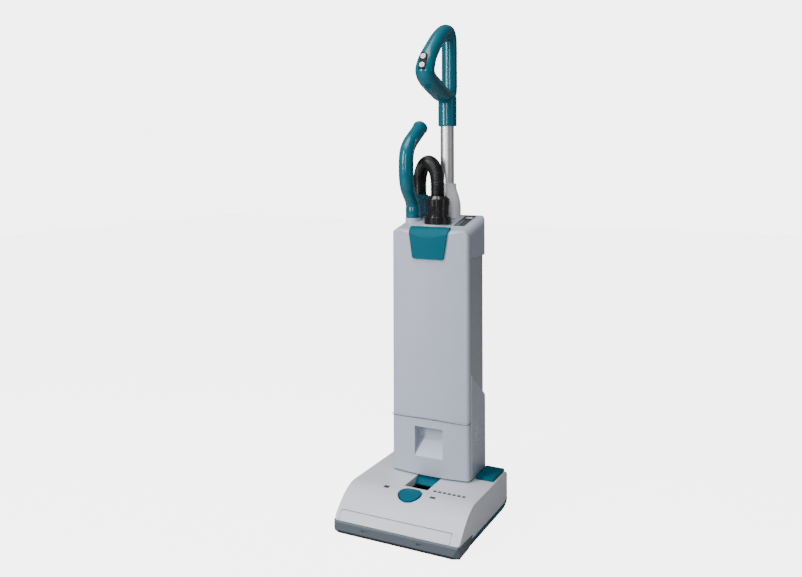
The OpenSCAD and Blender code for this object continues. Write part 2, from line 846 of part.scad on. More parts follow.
module neck() {
    color("#3a3d41") difference() {
        union() {
            rod_x(-neck_w / 2, neck_w / 2, hinge_y, hinge_z, neck_r);
            block(-neck_w / 2, neck_w / 2, hinge_y - neck_r, hinge_y + neck_r, hinge_z, body_z);
            both_sides() rod_x(neck_w / 2 - 1, neck_w / 2 + 21, hinge_y, hinge_z, trunnion_r);
        }
        block(-20, 20, hinge_y - 18, hinge_y + 18, hinge_z - 12, body_z + 1);
        block(-20, 20, hinge_y - neck_r - 1, hinge_y - 10, hinge_z - 18, hinge_z + 10);
    }
}

module lower_housing() {
    color("#b9bdc6") difference() {
        intersection() {
            union() {
                difference() {
                    body_solid(0, back_y);
                    translate([0, 0, body_z + wall]) body_outline_prism(wall, back_y);
                }
                intersection() {
                    body_solid(0, back_y);
                    grip_pocket(2.5);
                }
            }
            lower_zone(0);
            block(-body_w, body_w, body_y - 20, back_y + 20, body_z, ridge_front_z);
        }
        grip_pocket(0);
        block(-20, 20, hinge_y - 18, hinge_y + 18, body_z - 1, body_z + wall + 1);
        vent_holes();
    }
}

module body_outline_prism(t, back) {
    linear_extrude(top_z) body_outline(t, back);
}

module rear_housing() {
    inner = side_step + wall;
    color("#a7abb5") difference() {
        union() {
            difference() {
                body_solid(side_step, mid_back_y);
                body_outline_prism(inner, mid_back_y);
            }
            // Frame that the door's seal closes on
            intersection() {
                body_solid(side_step, mid_back_y);
                difference() {
                    block(-body_w, body_w, door_y, door_y + 3, 0, cap_z);
                    block(-body_w / 2 + 14, body_w / 2 - 14, door_y - 1, door_y + 4, door_z, cap_z - 6);
                }
            }
        }
        lower_zone(-gap);
        block(-body_w, body_w, body_y - 20, door_y, 0, top_z);
        block(-body_w, body_w, body_y - 20, back_y + 20, cap_z, top_z + 80);
        block(-bay_w / 2, bay_w / 2, back_y - 40, back_y + 5, bay_z, bay_z + bay_h);
        rod_x(-bay_w / 2 - 4, bay_w / 2 + 4, cover_axis_y, cover_axis_z, 1 + run);
    }
}

module top_cap() {
    color("#c3c6ce") difference() {
        union() {
            difference() {
                body_solid(0, back_y);
                translate([0, 0, -wall]) body_solid(wall, back_y);
            }
            // Seats for the cuff, the port and the pole
            rod_z(0, cuff_y, bag_top_z + gap, cuff_z, inlet_r + 3);
            intersection() {
                union() {
                    rod_z(0, cuff_y, cuff_z - 14, cuff_z, cuff_flange_r + 1.5);
                    rod_z(0, pole_y, cap_z + 28, collar_z, pole_r + 4);
                    rod_z(0, pole_y, collar_z - 14, collar_z, collar_r + 0.5);
                    rod_z(port_x, port_y, port_z - 25, port_z - 0.1, pipe_r + 2.5);
                }
                translate([0, 0, 25]) body_solid(0.5, back_y);
            }
            // Ledge behind the door for the latch's tongue
            intersection() {
                body_solid(wall, back_y);
                block(-40, 40, door_y, door_y + 3, cap_z, top_z);
            }
        }
        block(-body_w, body_w, body_y - 20, door_y, 0, top_z + 90);
        block(-body_w, body_w, body_y - 20, back_y + 20, 0, cap_z + gap);
        rod_z(0, cuff_y, cuff_z, cuff_z + 60, cuff_flange_r + 0.6);
        rod_z(0, cuff_y, cap_z, cuff_z + 1, inlet_r);
        rod_z(0, pole_y, collar_z, collar_z + 60, collar_r + gap);
        rod_z(0, pole_y, cap_z + 30, collar_z + 1, pole_r + run);
        rod_z(port_x, port_y, cap_z, port_z + 5, pipe_r + 0.1);
        display_place() block(-14.2, 14.2, 0, 92, -2, 5);
    }
}

// Puts its children on the sloping top at the right
module display_place() {
    y = body_y + 53;
    translate([58, y, top_at(y)]) rotate([top_slope, 0, 0]) children();
}

module display_panel() {
    color("#16181b") display_place() block(-14, 14, 0.2, 91.8, -1.9, 0.2);
}

module filter_tray() {
    color("#50555b") difference() {
        intersection() {
            translate([0, 0, door_z + 2]) linear_extrude(6) body_outline(side_step + wall + gap, mid_back_y);
            block(-body_w, body_w, body_y + 20, back_y, door_z, door_z + 20);
        }
        rod_z(port_x, port_y, 0, top_z, pipe_r + gap);
        for (x = [bag_x0 + 16 : 12 : bag_x1 - 16], y = [fan_y - 24 : 12 : fan_y + 24])
            block(x - 4.5, x + 4.5, y - 4.5, y + 4.5, door_z, door_z + 20);
    }
}

module motor_filter() {
    color("#33373b") block(bag_x0 + 6, bag_x1 - 4, body_y + 36, mid_back_y - 20,
        door_z + 8, door_z + 20);
}

module suction_motor() {
    color("#7d8287") difference() {
        rod_z(fan_x, fan_y, motor_can_z, fan_z, motor_can_r);
        rod_z(fan_x, fan_y, fan_z - 34, fan_z + 1, 3 + run);
    }
}

module fan_housing() {
    color("#9a9da1") difference() {
        rod_z(fan_x, fan_y, fan_z, fan_z + 28, fan_r);
        rod_z(fan_x, fan_y, fan_z + 3, fan_z + 25, fan_r - 3);
        rod_z(fan_x, fan_y, fan_z - 1, fan_z + 29, 15);
    }
}

module fan_rotor() {
    color("#c9ccd0") {
        rod_z(fan_x, fan_y, fan_z + 6, fan_z + 8, fan_r - 5);
        rod_z(fan_x, fan_y, fan_z - 32, fan_z + 20, 3);
        rod_z(fan_x, fan_y, fan_z + 6, fan_z + 20, 9);
        for (a = [0 : 45 : 315]) translate([fan_x, fan_y, fan_z + 7]) rotate(a)
            block(8, fan_r - 6, -1, 1, 0, 13);
    }
}

module motor_mount() {
    color("#1b1d20") difference() {
        rod_z(fan_x, fan_y, foot_z + foot_h, motor_can_z, 36);
        rod_z(fan_x, fan_y, foot_z, motor_can_z + 1, 20);
    }
    color("#1b1d20") for (y = [fan_y - 14, fan_y + 14])
        rod_z(fan_x + 24, y, body_z + wall, foot_z + foot_h + 1, 4);
}

module exhaust_filter() {
    x1 = body_w / 2 - wall - gap;
    color("#d8dadd") block(x1 - 10, x1, body_y + 38, body_y + 94, door_z - 74, door_z - 4);
}

module air_pipe() {
    foot_y = port_y - 16;
    foot_end_y = hinge_y + 17;
    color("#24272b") difference() {
        union() {
            rod_z(port_x, port_y, foot_z, port_z - 3, pipe_r);
            block(port_x - 16, 22, foot_y, foot_end_y, foot_z, foot_z + foot_h);
        }
        rod_z(port_x, port_y, foot_z + 2, port_z, pipe_bore_r);
        block(port_x - 10, 20, foot_y + 2, foot_end_y - 2, foot_z + 2, foot_z + foot_h - 2);
        block(-18, 18, hinge_y - 16, hinge_y + 15, foot_z - 1, foot_z + 3);
    }
}

module dust_bag() {
    color("#e4e0d2") block(bag_x0, bag_x1, body_y + 28, bay_y - 2, door_z + 21, bag_top_z);
}

module bag_collar() {
    color("#b99a66") difference() {
        block(-34, 34, body_y + 30, body_y + 92, bag_top_z + gap, bag_top_z + gap + 4);
        rod_z(0, cuff_y, bag_top_z, bag_top_z + 10, inlet_r + 3 + gap);
    }
}

module battery_tray() {
    middle = bay_z + bay_h / 2;
    color("#24272b") difference() {
        block(-bay_w / 2 - 3, bay_w / 2 + 3, bay_y, mid_back_y - wall - side_step - 0.1,
            bay_z - 4, bay_z + bay_h + 4);
        block(-bay_w / 2, bay_w / 2, bay_y + 2, back_y, bay_z + 4, middle - 2);
        block(-bay_w / 2, bay_w / 2, bay_y + 2, back_y, middle + 1, bay_z + bay_h - 4);
    }
}

module battery_packs() {
    pack_h = bay_h / 2 - 26;
    color("#0b5d70") for (z = [bay_z + 4 + gap, bay_z + bay_h / 2 + 1 + gap]) {
        block(5 - bay_w / 2, bay_w / 2 - 5, bay_y + 2 + gap, mid_back_y - 7, z, z + pack_h);
        block(14 - bay_w / 2, bay_w / 2 - 14, bay_y + 22, bay_y + 50, z + pack_h, z + pack_h + 8);
    }
}

module battery_cover() {
    x1 = bay_w / 2 - gap;
    out_y = mid_back_y - side_step;
    color("#9ea2ac") {
        block(-x1, x1, out_y - wall, out_y, bay_z + gap, cover_axis_z);
        rod_x(-x1, x1, cover_axis_y, cover_axis_z, wall / 2);
        rod_x(-bay_w / 2 - 3.5, bay_w / 2 + 3.5, cover_axis_y, cover_axis_z, 1);
        block(-18, 18, out_y - 1, out_y + 3, bay_z + 8, bay_z + 14);
    }
}

module pole_collar() {
    neck_z = collar_z + 42;
    top = collar_z + collar_h;
    top_r = pole_r + 5.3;
    color("#c9ccd2") translate([0, pole_y, 0]) rotate_extrude() polygon([
        [pole_r + 0.1, collar_z], [collar_r, collar_z], [collar_r, neck_z - 14],
        [collar_r - 1.5, neck_z], [collar_r - 5, neck_z + 14], [top_r + 1.5, top - 16],
        [top_r, top - 8], [top_r, top], [pole_r + 0.1, top]
    ]);
}

module pole() {
    color("#c4c6ca") difference() {
        rod_z(0, pole_y, cap_z + 30, sleeve_z + 42, pole_r);
        rod_z(0, pole_y, cap_z + 29, sleeve_z + 43, pole_r - 1.5);
    }
}

// Closed ring of oval sections along the handle's middle line
module handle_loop() {
    m = 16;
    path = spline_closed(loop_route, 3);
    n = len(path);
    rings = [
        for (i = [0 : n - 1])
            let (
                a = path[(i + n - 1) % n],
                b = path[(i + 1) % n],
                d = unit([b[0] - a[0], b[1] - a[1]]),
                p = path[i]
            )
            for (j = [0 : m - 1]) [
                p[2] * cos(360 * j / m),
                sleeve_y + p[0] - p[3] * sin(360 * j / m) * d[1],
                p[1] + p[3] * sin(360 * j / m) * d[0]
            ]
    ];
    polyhedron(rings, band(n, m, closed = true));
}

// Local frame of the switch pad, with its height along the outward normal
module pad_place() { translate([0, pad_y, pad_z]) rotate([pad_tilt, 0, 0]) children(); }

module pad_shape(r, h0, h1) {
    translate([0, 0, h0]) linear_extrude(h1 - h0) {
        translate([0, -button_gap - 2]) circle(r);
        translate([0, button_gap + 2]) circle(r);
        translate([-r, -button_gap - 2]) square([2 * r, 2 * button_gap + 4]);
    }
}

module handle_grip() {
    color("#0b6c80") difference() {
        union() {
            handle_loop();
            rod_z(0, sleeve_y, sleeve_z, sleeve_top_z, sleeve_r);
            translate([0, sleeve_y, sleeve_top_z]) sphere(sleeve_r);
        }
        rod_z(0, pole_y, sleeve_z - 1, sleeve_z + 42, pole_r + run);
        pad_place() pad_shape(9.2, -4, 30);
        lock_place() block(-6.3, 6.3, -17, 17, -6, 10);
    }
}

module switch_pad() {
    color("#131517") pad_place() difference() {
        pad_shape(9, -3.9, 0.6);
        for (s = [-1, 1]) translate([0, s * button_gap, -2.4]) cylinder(h = 10, r = button_r + 0.2);
    }
}

module round_button(s) {
    color("#eef0f1") pad_place() translate([0, s * button_gap, -2.4 + button_travel + 0.1])
        cylinder(h = 3.6, r = button_r);
}

module power_button() { round_button(1); }
module mode_button() { round_button(-1); }

module lock_place() {
    translate([0, sleeve_y + sleeve_r, sleeve_top_z - 15]) rotate([-90, 0, 0]) children();
}

module lock_button() {
    color("#0a5465") lock_place() {
        block(-6, 6, -16.5, 16.5, -3.5, 1.5);
    }
}

module hose_cuff() {
    flutes = 16;
    color("#17191b") difference() {
        union() {
            rod_z(0, cuff_y, cuff_z, cuff_z + 18, cuff_flange_r);
            rod_z(0, cuff_y, cuff_z + 17, cuff_z + 46, cuff_r - 2);
            rod_z(0, cuff_y, cuff_z + 45, cuff_top_z - 7, cuff_r);
            translate([0, cuff_y, cuff_top_z - 7]) cylinder(h = 7, r1 = cuff_r, r2 = cuff_r - 7);
            rod_z(0, cuff_y, cuff_z - 36, cuff_z + 1, inlet_r - 0.2);
        }
        rod_z(0, cuff_y, cuff_z - 37, cuff_top_z + 1, inlet_r - 2);
        for (i = [0 : flutes - 1]) translate([0, cuff_y, 0]) rotate(i * 360 / flutes)
            translate([cuff_r - 1, 0, cuff_z + 22]) cylinder(h = 22, r = 2.6);
    }
}

module hose() {
    m = 8;
    rib_h = 1.4;
    n = 2 * hose_ribs + 1;
    bore_n = hose_ribs / 2 + 1;
    last = hose_route[12];
    path = [
        for (i = [0 : n - 1])
            let (p = spline_point(hose_route, 12 * i / (n - 1)))
            [p[0] * port_x / last[0], cuff_y + p[1] * (socket_y - cuff_y) / last[1], p[2]]
    ];
    side = unit([socket_y - cuff_y, -port_x, 0]);
    ring = function (i, r) let (
            a = path[max(i - 1, 0)],
            b = path[min(i + 1, n - 1)],
            d = i == 0 ? [0, 0, 1] : i == n - 1 ? [0, 0, -1] : unit(b - a),
            up = cross(side, d)
        ) [for (j = [0 : m - 1]) path[i] + r * (cos(360 * j / m) * side + sin(360 * j / m) * up)];
    outer = [for (i = [0 : n - 1]) each ring(i, i % 2 == 0 ? hose_r - rib_h : hose_r)];
    inner = [for (i = [0 : 4 : n - 1]) each ring(i, hose_bore_r)];
    ends = [for (e = [0, 1], j = [0 : m - 1], half = [0, 1])
        let (
            k = (j + 1) % m,
            o0 = e * (n - 1) * m + j,
            o1 = e * (n - 1) * m + k,
            i0 = (n + e * (bore_n - 1)) * m + j,
            i1 = (n + e * (bore_n - 1)) * m + k,
            f = half == 0 ? [o0, i1, o1] : [o0, i0, i1]
        ) e == 0 ? f : [f[2], f[1], f[0]]];
    color("#141516") polyhedron(
        concat(outer, inner),
        concat(band(n, m), band(bore_n, m, flip = true, first = n * m), ends)
    );
}

module cane() {
    m = 16;
    path = spline_open(cane_route, 3);
    n = len(path);
    rings = [
        for (i = [0 : n - 1])
            let (
                a = path[max(i - 1, 0)],
                b = path[min(i + 1, n - 1)],
                d = unit(b - a),
                r = i < n - 2 ? cane_r : i == n - 2 ? cane_r + 1 : cane_r - 2
            )
            for (j = [0 : m - 1]) [
                port_x + r * cos(360 * j / m),
                port_y + path[i][0] - r * sin(360 * j / m) * d[1],
                path[i][1] + r * sin(360 * j / m) * d[0]
            ]
    ];
    caps = [
        for (j = [1 : m - 2], e = [0, 1])
            let (base = e * (n - 1) * m)
                e == 0 ? [base, base + j + 1, base + j] : [base, base + j, base + j + 1]
    ];
    polyhedron(rings, concat(band(n, m), caps));
}

module hose_handle() {
    color("#0b6c80") difference() {
        union() {
            cane();
            rod_z(port_x, port_y, port_z, port_z + 42, cane_r);
            rod_z(port_x, socket_y, port_z + 8, cuff_top_z, socket_r);
            block(port_x - 16, port_x + 16, port_y, socket_y, port_z + 8, port_z + 50);
            rod_z(port_x, port_y, port_z - 55, port_z + 1, pipe_bore_r - 0.3);
        }
        rod_z(port_x, port_y, port_z - 56, port_z + 24, pipe_bore_r - 3);
        rod_z(port_x, socket_y, port_z + 12, cuff_top_z + 1, hose_bore_r);
        translate([port_x, port_y, port_z + 22]) rotate([-90, 0, 0]) cylinder(h = socket_y - port_y, r = 8);
    }
}

/* Bag door */

module door_zone(g) {
    block(-body_w, body_w, body_y - 20, door_y - g, door_z + g, top_z + 80);
}

module bag_door() {
    color("#bcc0c9") difference() {
        union() {
            intersection() {
                difference() {
                    body_solid(0, back_y);
                    body_solid(wall, back_y);
                }
                door_zone(gap);
                // Round lower edge that the door tilts on
                union() {
                    block(-body_w, body_w, body_y - 20, back_y, door_axis_z, top_z + 80);
                    rod_x(-body_w, body_w, door_axis_y, door_axis_z, 3.2);
                    block(-body_w, body_w, door_axis_y, back_y, door_z, door_axis_z + 1);
                }
            }
            // Tabs that hook behind the lower housing's front wall
            both_sides() {
                block(31, 49, body_y + wall + 3.5, body_y + wall + 6.5, door_z - 9, door_z + 24);
                block(31, 49, body_y + wall, body_y + wall + 6.5, door_z + 4, door_z + 24);
            }
            // Ears for the latch's pin
            for (x = latch_ears, side = [-1, 1]) ear(x + side * 5.3 - 2, x + side * 5.3 + 2);
        }
        // Openings for the latch's lugs and its tongue
        for (x = latch_ears) block(x - 3.3, x + 3.3, latch_axis_y - 12, latch_axis_y + 5,
            latch_axis_z - 12, top_z + 20);
        block(-13, 13, body_y - 5, body_y + 12, latch_axis_z - 32, latch_axis_z - 5);
        rod_x(-60, 60, latch_axis_y, latch_axis_z, 1.5);
        // Thumb hollow under the latch
        translate([0, body_y - 1, latch_z - 3]) rotate([90, 0, 90])
            cylinder(h = 56, r = 3, center = true);
    }
}

module ear(x0, x1) {
    block(x0, x1, latch_axis_y - 4, latch_axis_y + 3.5, latch_axis_z - 4, top_at(latch_axis_y) - wall + 0.5);
}

module door_seal() {
    half = body_w / 2 - wall - 1;
    color("#1b1d20") along_y(door_y - 5, door_y - gap) difference() {
        translate([-half, door_z + 12]) square([2 * half, cap_z - door_z - 12]);
        translate([-half + 7, door_z + 19]) square([2 * half - 14, cap_z - door_z - 26]);
    }
}

module latch_pin() {
    color("#b9bcc0") for (x = latch_ears) rod_x(x - 7.3, x + 7.3, latch_axis_y, latch_axis_z, 1.5);
}

// Widening panel with rounded lower corners
module latch_outline() {
    r = 6;
    lean = (latch_top_w - latch_low_w) / 2 / (top_z + 6 - latch_z);
    slant = sqrt(1 + lean * lean);
    c = latch_low_w / 2 + (lean - slant) * r;
    for (s = [-1, 1]) translate([s * c, latch_z + r]) circle(r);
    polygon([
        [-c, latch_z], [c, latch_z], [c + r / slant, latch_z + r - lean * r / slant],
        [latch_top_w / 2, top_z + 6], [latch_top_w / 2, top_z + 40],
        [-latch_top_w / 2, top_z + 40], [-latch_top_w / 2, top_z + 6],
        [-c - r / slant, latch_z + r - lean * r / slant]
    ]);
}

module door_latch() {
    color("#0b6c80") difference() {
        union() {
            // Shell over the door's front and its upper edge
            intersection() {
                difference() {
                    body_solid(-latch_t, back_y);
                    body_solid(-0.4, back_y);
                }
                along_y(body_y - 30, body_y + 21) latch_outline();
            }
            for (x = latch_ears) {
                rod_x(x - 3, x + 3, latch_axis_y, latch_axis_z, 3.4);
                block(x - 3, x + 3, latch_axis_y - 6, latch_axis_y - 1.5, latch_axis_z,
                    top_at(latch_axis_y - 6) + 1.5);
            }
            block(-11, 11, body_y - 2, door_y - gap, latch_axis_z - 27, latch_axis_z - 13);
        }
        rod_x(-60, 60, latch_axis_y, latch_axis_z, 1.5 + run);
        // Slanted rear edge, clear of the door's top when the latch is lifted
        along_x(-60, 60) polygon([
            [latch_axis_y - 1.8, top_z - 5], [latch_axis_y - 1.8, top_z + 4.5],
            [latch_axis_y + 3, top_z + 11], [latch_axis_y + 20, top_z + 11],
            [latch_axis_y + 20, top_z - 5]
        ]);
    }
}

head_chassis();
head_cover();
front_cover();
bumper();
bumper_lip();
sole_plate();
sole_screws();
air_duct();
window_ramp();
brush_bearings();
brush_motor();
drive_belt();
neck_bearings();
rear_axles();
pedal_pin();
brush_core();
brush_bristles();
brush_pulley();
motor_pinion();
rear_hub_left();
rear_hub_right();
rear_tyre_left();
rear_tyre_right();
front_carriage();
front_roller_left();
front_roller_right();
height_dial();
release_pedal();
neck();
lower_housing();
rear_housing();
top_cap();
filter_tray();
motor_filter();
suction_motor();
fan_housing();
motor_mount();
exhaust_filter();
air_pipe();
dust_bag();
bag_collar();
battery_tray();
battery_packs();
display_panel();
pole_collar();
pole();
handle_grip();
switch_pad();
hose_cuff();
hose();
bag_door();
door_seal();
latch_pin();
door_latch();
fan_rotor();
power_button();
mode_button();
lock_button();
battery_cover();
hose_handle();
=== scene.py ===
import math

import bmesh
import bpy
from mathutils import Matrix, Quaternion, Vector


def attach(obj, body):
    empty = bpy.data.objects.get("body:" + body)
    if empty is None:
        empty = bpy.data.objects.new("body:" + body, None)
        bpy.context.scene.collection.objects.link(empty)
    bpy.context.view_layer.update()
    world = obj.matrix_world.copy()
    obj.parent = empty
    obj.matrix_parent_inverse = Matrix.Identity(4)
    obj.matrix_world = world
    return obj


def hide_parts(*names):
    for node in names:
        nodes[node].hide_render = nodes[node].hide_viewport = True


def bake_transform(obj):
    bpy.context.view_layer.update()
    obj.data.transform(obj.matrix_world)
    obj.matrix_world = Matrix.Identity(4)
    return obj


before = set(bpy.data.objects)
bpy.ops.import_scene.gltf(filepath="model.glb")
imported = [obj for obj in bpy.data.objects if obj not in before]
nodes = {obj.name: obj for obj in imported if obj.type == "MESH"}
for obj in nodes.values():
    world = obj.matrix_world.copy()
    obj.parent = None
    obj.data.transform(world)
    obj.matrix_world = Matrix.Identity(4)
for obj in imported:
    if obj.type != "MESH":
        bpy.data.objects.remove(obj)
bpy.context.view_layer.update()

view = {
    "place": (0.7997, -1.92975, 0.8499), "yaw": 29.9, "pitch": -0.36, "roll": 0.11,
    "lens": 39.155, "shift": (0.1118, -0.1692),
}
lamps = {
    "keyLeft": {"place": (-1.3, -2.3, 1.7), "aim": (0, 0, 0.6), "size": (0.5, 1.9), "power": 82},
    "frontStrip": {"place": (0.55, -2.9, 1.5), "aim": (0, 0, 0.6), "size": (0.3, 1.5), "power": 22},
    "rightFill": {"place": (2.6, -0.3, 1.2), "aim": (0, 0, 0.5), "size": (0.9, 1.6), "power": 2.5},
    "topSoft": {"place": (-0.3, -0.5, 3.0), "aim": (0, 0, 0.3), "size": (1.8, 1.8), "power": 62},
}
studio = {"tint": (0.93, 0.95, 1.0), "ambient": 0.15, "backdrop": 5.2, "floorGlow": 4.7}


def placeCamera():
    data = bpy.data.cameras.new("camera")
    camera = bpy.data.objects.new("camera", data)
    bpy.context.scene.collection.objects.link(camera)
    bpy.context.scene.camera = camera
    yaw, pitch = math.radians(view["yaw"]), math.radians(view["pitch"])
    ahead = Vector((-math.sin(yaw) * math.cos(pitch), math.cos(yaw) * math.cos(pitch), -math.sin(pitch)))
    turn = ahead.to_track_quat("-Z", "Y") @ Quaternion((0, 0, 1), math.radians(-view["roll"]))
    camera.rotation_mode = "QUATERNION"
    camera.rotation_quaternion = turn
    camera.location = view["place"]
    data.lens = view["lens"]
    data.sensor_width = 36
    data.shift_x, data.shift_y = view["shift"]
    data.clip_start = 0.02


def placeLamps():
    for name, spec in lamps.items():
        data = bpy.data.lights.new(name, "AREA")
        data.shape = "RECTANGLE"
        data.size, data.size_y = spec["size"]
        data.energy = spec["power"]
        lamp = bpy.data.objects.new(name, data)
        bpy.context.scene.collection.objects.link(lamp)
        lamp.location = spec["place"]
        aim = Vector(spec["aim"]) - Vector(spec["place"])
        lamp.rotation_euler = aim.to_track_quat("-Z", "Y").to_euler()


def lightStudio():  # a dim surround that lights the part, and a white one that only the camera sees
    world = bpy.data.worlds.new("studio")
    bpy.context.scene.world = world
    world.use_nodes = True
    tree = world.node_tree
    dim = tree.nodes["Background"]
    dim.inputs["Color"].default_value = (*studio["tint"], 1)
    dim.inputs["Strength"].default_value = studio["ambient"]
    white = tree.nodes.new("ShaderNodeBackground")
    white.inputs["Color"].default_value = (1, 1, 1, 1)
    white.inputs["Strength"].default_value = studio["backdrop"]
    path = tree.nodes.new("ShaderNodeLightPath")
    mix = tree.nodes.new("ShaderNodeMixShader")
    tree.links.new(path.outputs["Is Camera Ray"], mix.inputs[0])
    tree.links.new(dim.outputs[0], mix.inputs[1])
    tree.links.new(white.outputs[0], mix.inputs[2])
    tree.links.new(mix.outputs[0], tree.nodes["World Output"].inputs["Surface"])


placeCamera()
placeLamps()
lightStudio()
print("camera and lamps are placed")


def newGroup(name, inputs, outputs):
    group = bpy.data.node_groups.new(name, "ShaderNodeTree")
    for label, kind, value in inputs:
        socket = group.interface.new_socket(label, in_out="INPUT", socket_type=kind)
        if value is not None:
            socket.default_value = value
    for label, kind in outputs:
        group.interface.new_socket(label, in_out="OUTPUT", socket_type=kind)
    return group, group.nodes.new("NodeGroupInput"), group.nodes.new("NodeGroupOutput")


def addMath(tree, job, first, second=None):
    node = tree.nodes.new("ShaderNodeMath")
    node.operation = job
    for i, value in enumerate((first, second)):
        if value is None:
            continue
        if isinstance(value, (int, float)):
            node.inputs[i].default_value = value
        else:
            tree.links.new(value, node.inputs[i])
    return node.outputs[0]


def toneDriftGroup():  # slow change of tone over a moulding, with fine specks
    group, start, end = newGroup(
        "toneDrift",
        [("Vector", "NodeSocketVector", None), ("Color", "NodeSocketColor", (0.5, 0.5, 0.5, 1)),
         ("Other", "NodeSocketColor", (0.4, 0.4, 0.4, 1)), ("Amount", "NodeSocketFloat", 0.5),
         ("Size", "NodeSocketFloat", 9.0)],
        [("Color", "NodeSocketColor")])
    slow = group.nodes.new("ShaderNodeTexNoise")
    slow.inputs["Detail"].default_value = 3
    fine = group.nodes.new("ShaderNodeTexNoise")
    fine.inputs["Scale"].default_value = 420
    blend = group.nodes.new("ShaderNodeMix")
    blend.data_type = "RGBA"
    links = group.links
    links.new(start.outputs["Vector"], slow.inputs["Vector"])
    links.new(start.outputs["Vector"], fine.inputs["Vector"])
    links.new(start.outputs["Size"], slow.inputs["Scale"])
    mask = addMath(group, "ADD", addMath(group, "MULTIPLY", slow.outputs["Fac"], 0.8),
                   addMath(group, "MULTIPLY", fine.outputs["Fac"], 0.2))
    links.new(addMath(group, "MULTIPLY", mask, start.outputs["Amount"]), blend.inputs["Factor"])
    links.new(start.outputs["Color"], blend.inputs["A"])
    links.new(start.outputs["Other"], blend.inputs["B"])
    links.new(blend.outputs["Result"], end.inputs["Color"])
    return group


def grainGroup():  # moulded grain: a height for Bump and a roughness that varies with it
    group, start, end = newGroup(
        "mouldGrain",
        [("Vector", "NodeSocketVector", None), ("Size", "NodeSocketFloat", 900.0),
         ("Rough", "NodeSocketFloat", 0.4), ("Vary", "NodeSocketFloat", 0.1)],
        [("Height", "NodeSocketFloat"), ("Roughness", "NodeSocketFloat")])
    grain = group.nodes.new("ShaderNodeTexNoise")
    grain.inputs["Detail"].default_value = 2
    smear = group.nodes.new("ShaderNodeTexNoise")
    smear.inputs["Scale"].default_value = 26
    smear.inputs["Detail"].default_value = 4
    links = group.links
    links.new(start.outputs["Vector"], grain.inputs["Vector"])
    links.new(start.outputs["Vector"], smear.inputs["Vector"])
    links.new(start.outputs["Size"], grain.inputs["Scale"])
    swing = addMath(group, "MULTIPLY", addMath(group, "SUBTRACT", smear.outputs["Fac"], 0.5),
                    start.outputs["Vary"])
    links.new(addMath(group, "ADD", start.outputs["Rough"], swing), end.inputs["Roughness"])
    links.new(grain.outputs["Fac"], end.inputs["Height"])
    return group


def scuffGroup():  # short fine scratches in two directions
    group, start, end = newGroup(
        "fineScuffs",
        [("Vector", "NodeSocketVector", None), ("Size", "NodeSocketFloat", 60.0)],
        [("Mask", "NodeSocketFloat")])
    links = group.links
    masks = []
    for stretch in ((1, 14, 1), (12, 1, 2)):
        mapping = group.nodes.new("ShaderNodeMapping")
        mapping.inputs["Scale"].default_value = stretch
        noise = group.nodes.new("ShaderNodeTexNoise")
        noise.inputs["Detail"].default_value = 5
        ramp = group.nodes.new("ShaderNodeMapRange")
        ramp.inputs["From Min"].default_value = 0.66
        ramp.inputs["From Max"].default_value = 0.74
        links.new(start.outputs["Vector"], mapping.inputs["Vector"])
        links.new(mapping.outputs["Vector"], noise.inputs["Vector"])
        links.new(start.outputs["Size"], noise.inputs["Scale"])
        links.new(noise.outputs["Fac"], ramp.inputs["Value"])
        masks.append(ramp.outputs["Result"])
    links.new(addMath(group, "MAXIMUM", masks[0], masks[1]), end.inputs["Mask"])
    return group


groups = {"drift": toneDriftGroup(), "grain": grainGroup(), "scuffs": scuffGroup()}


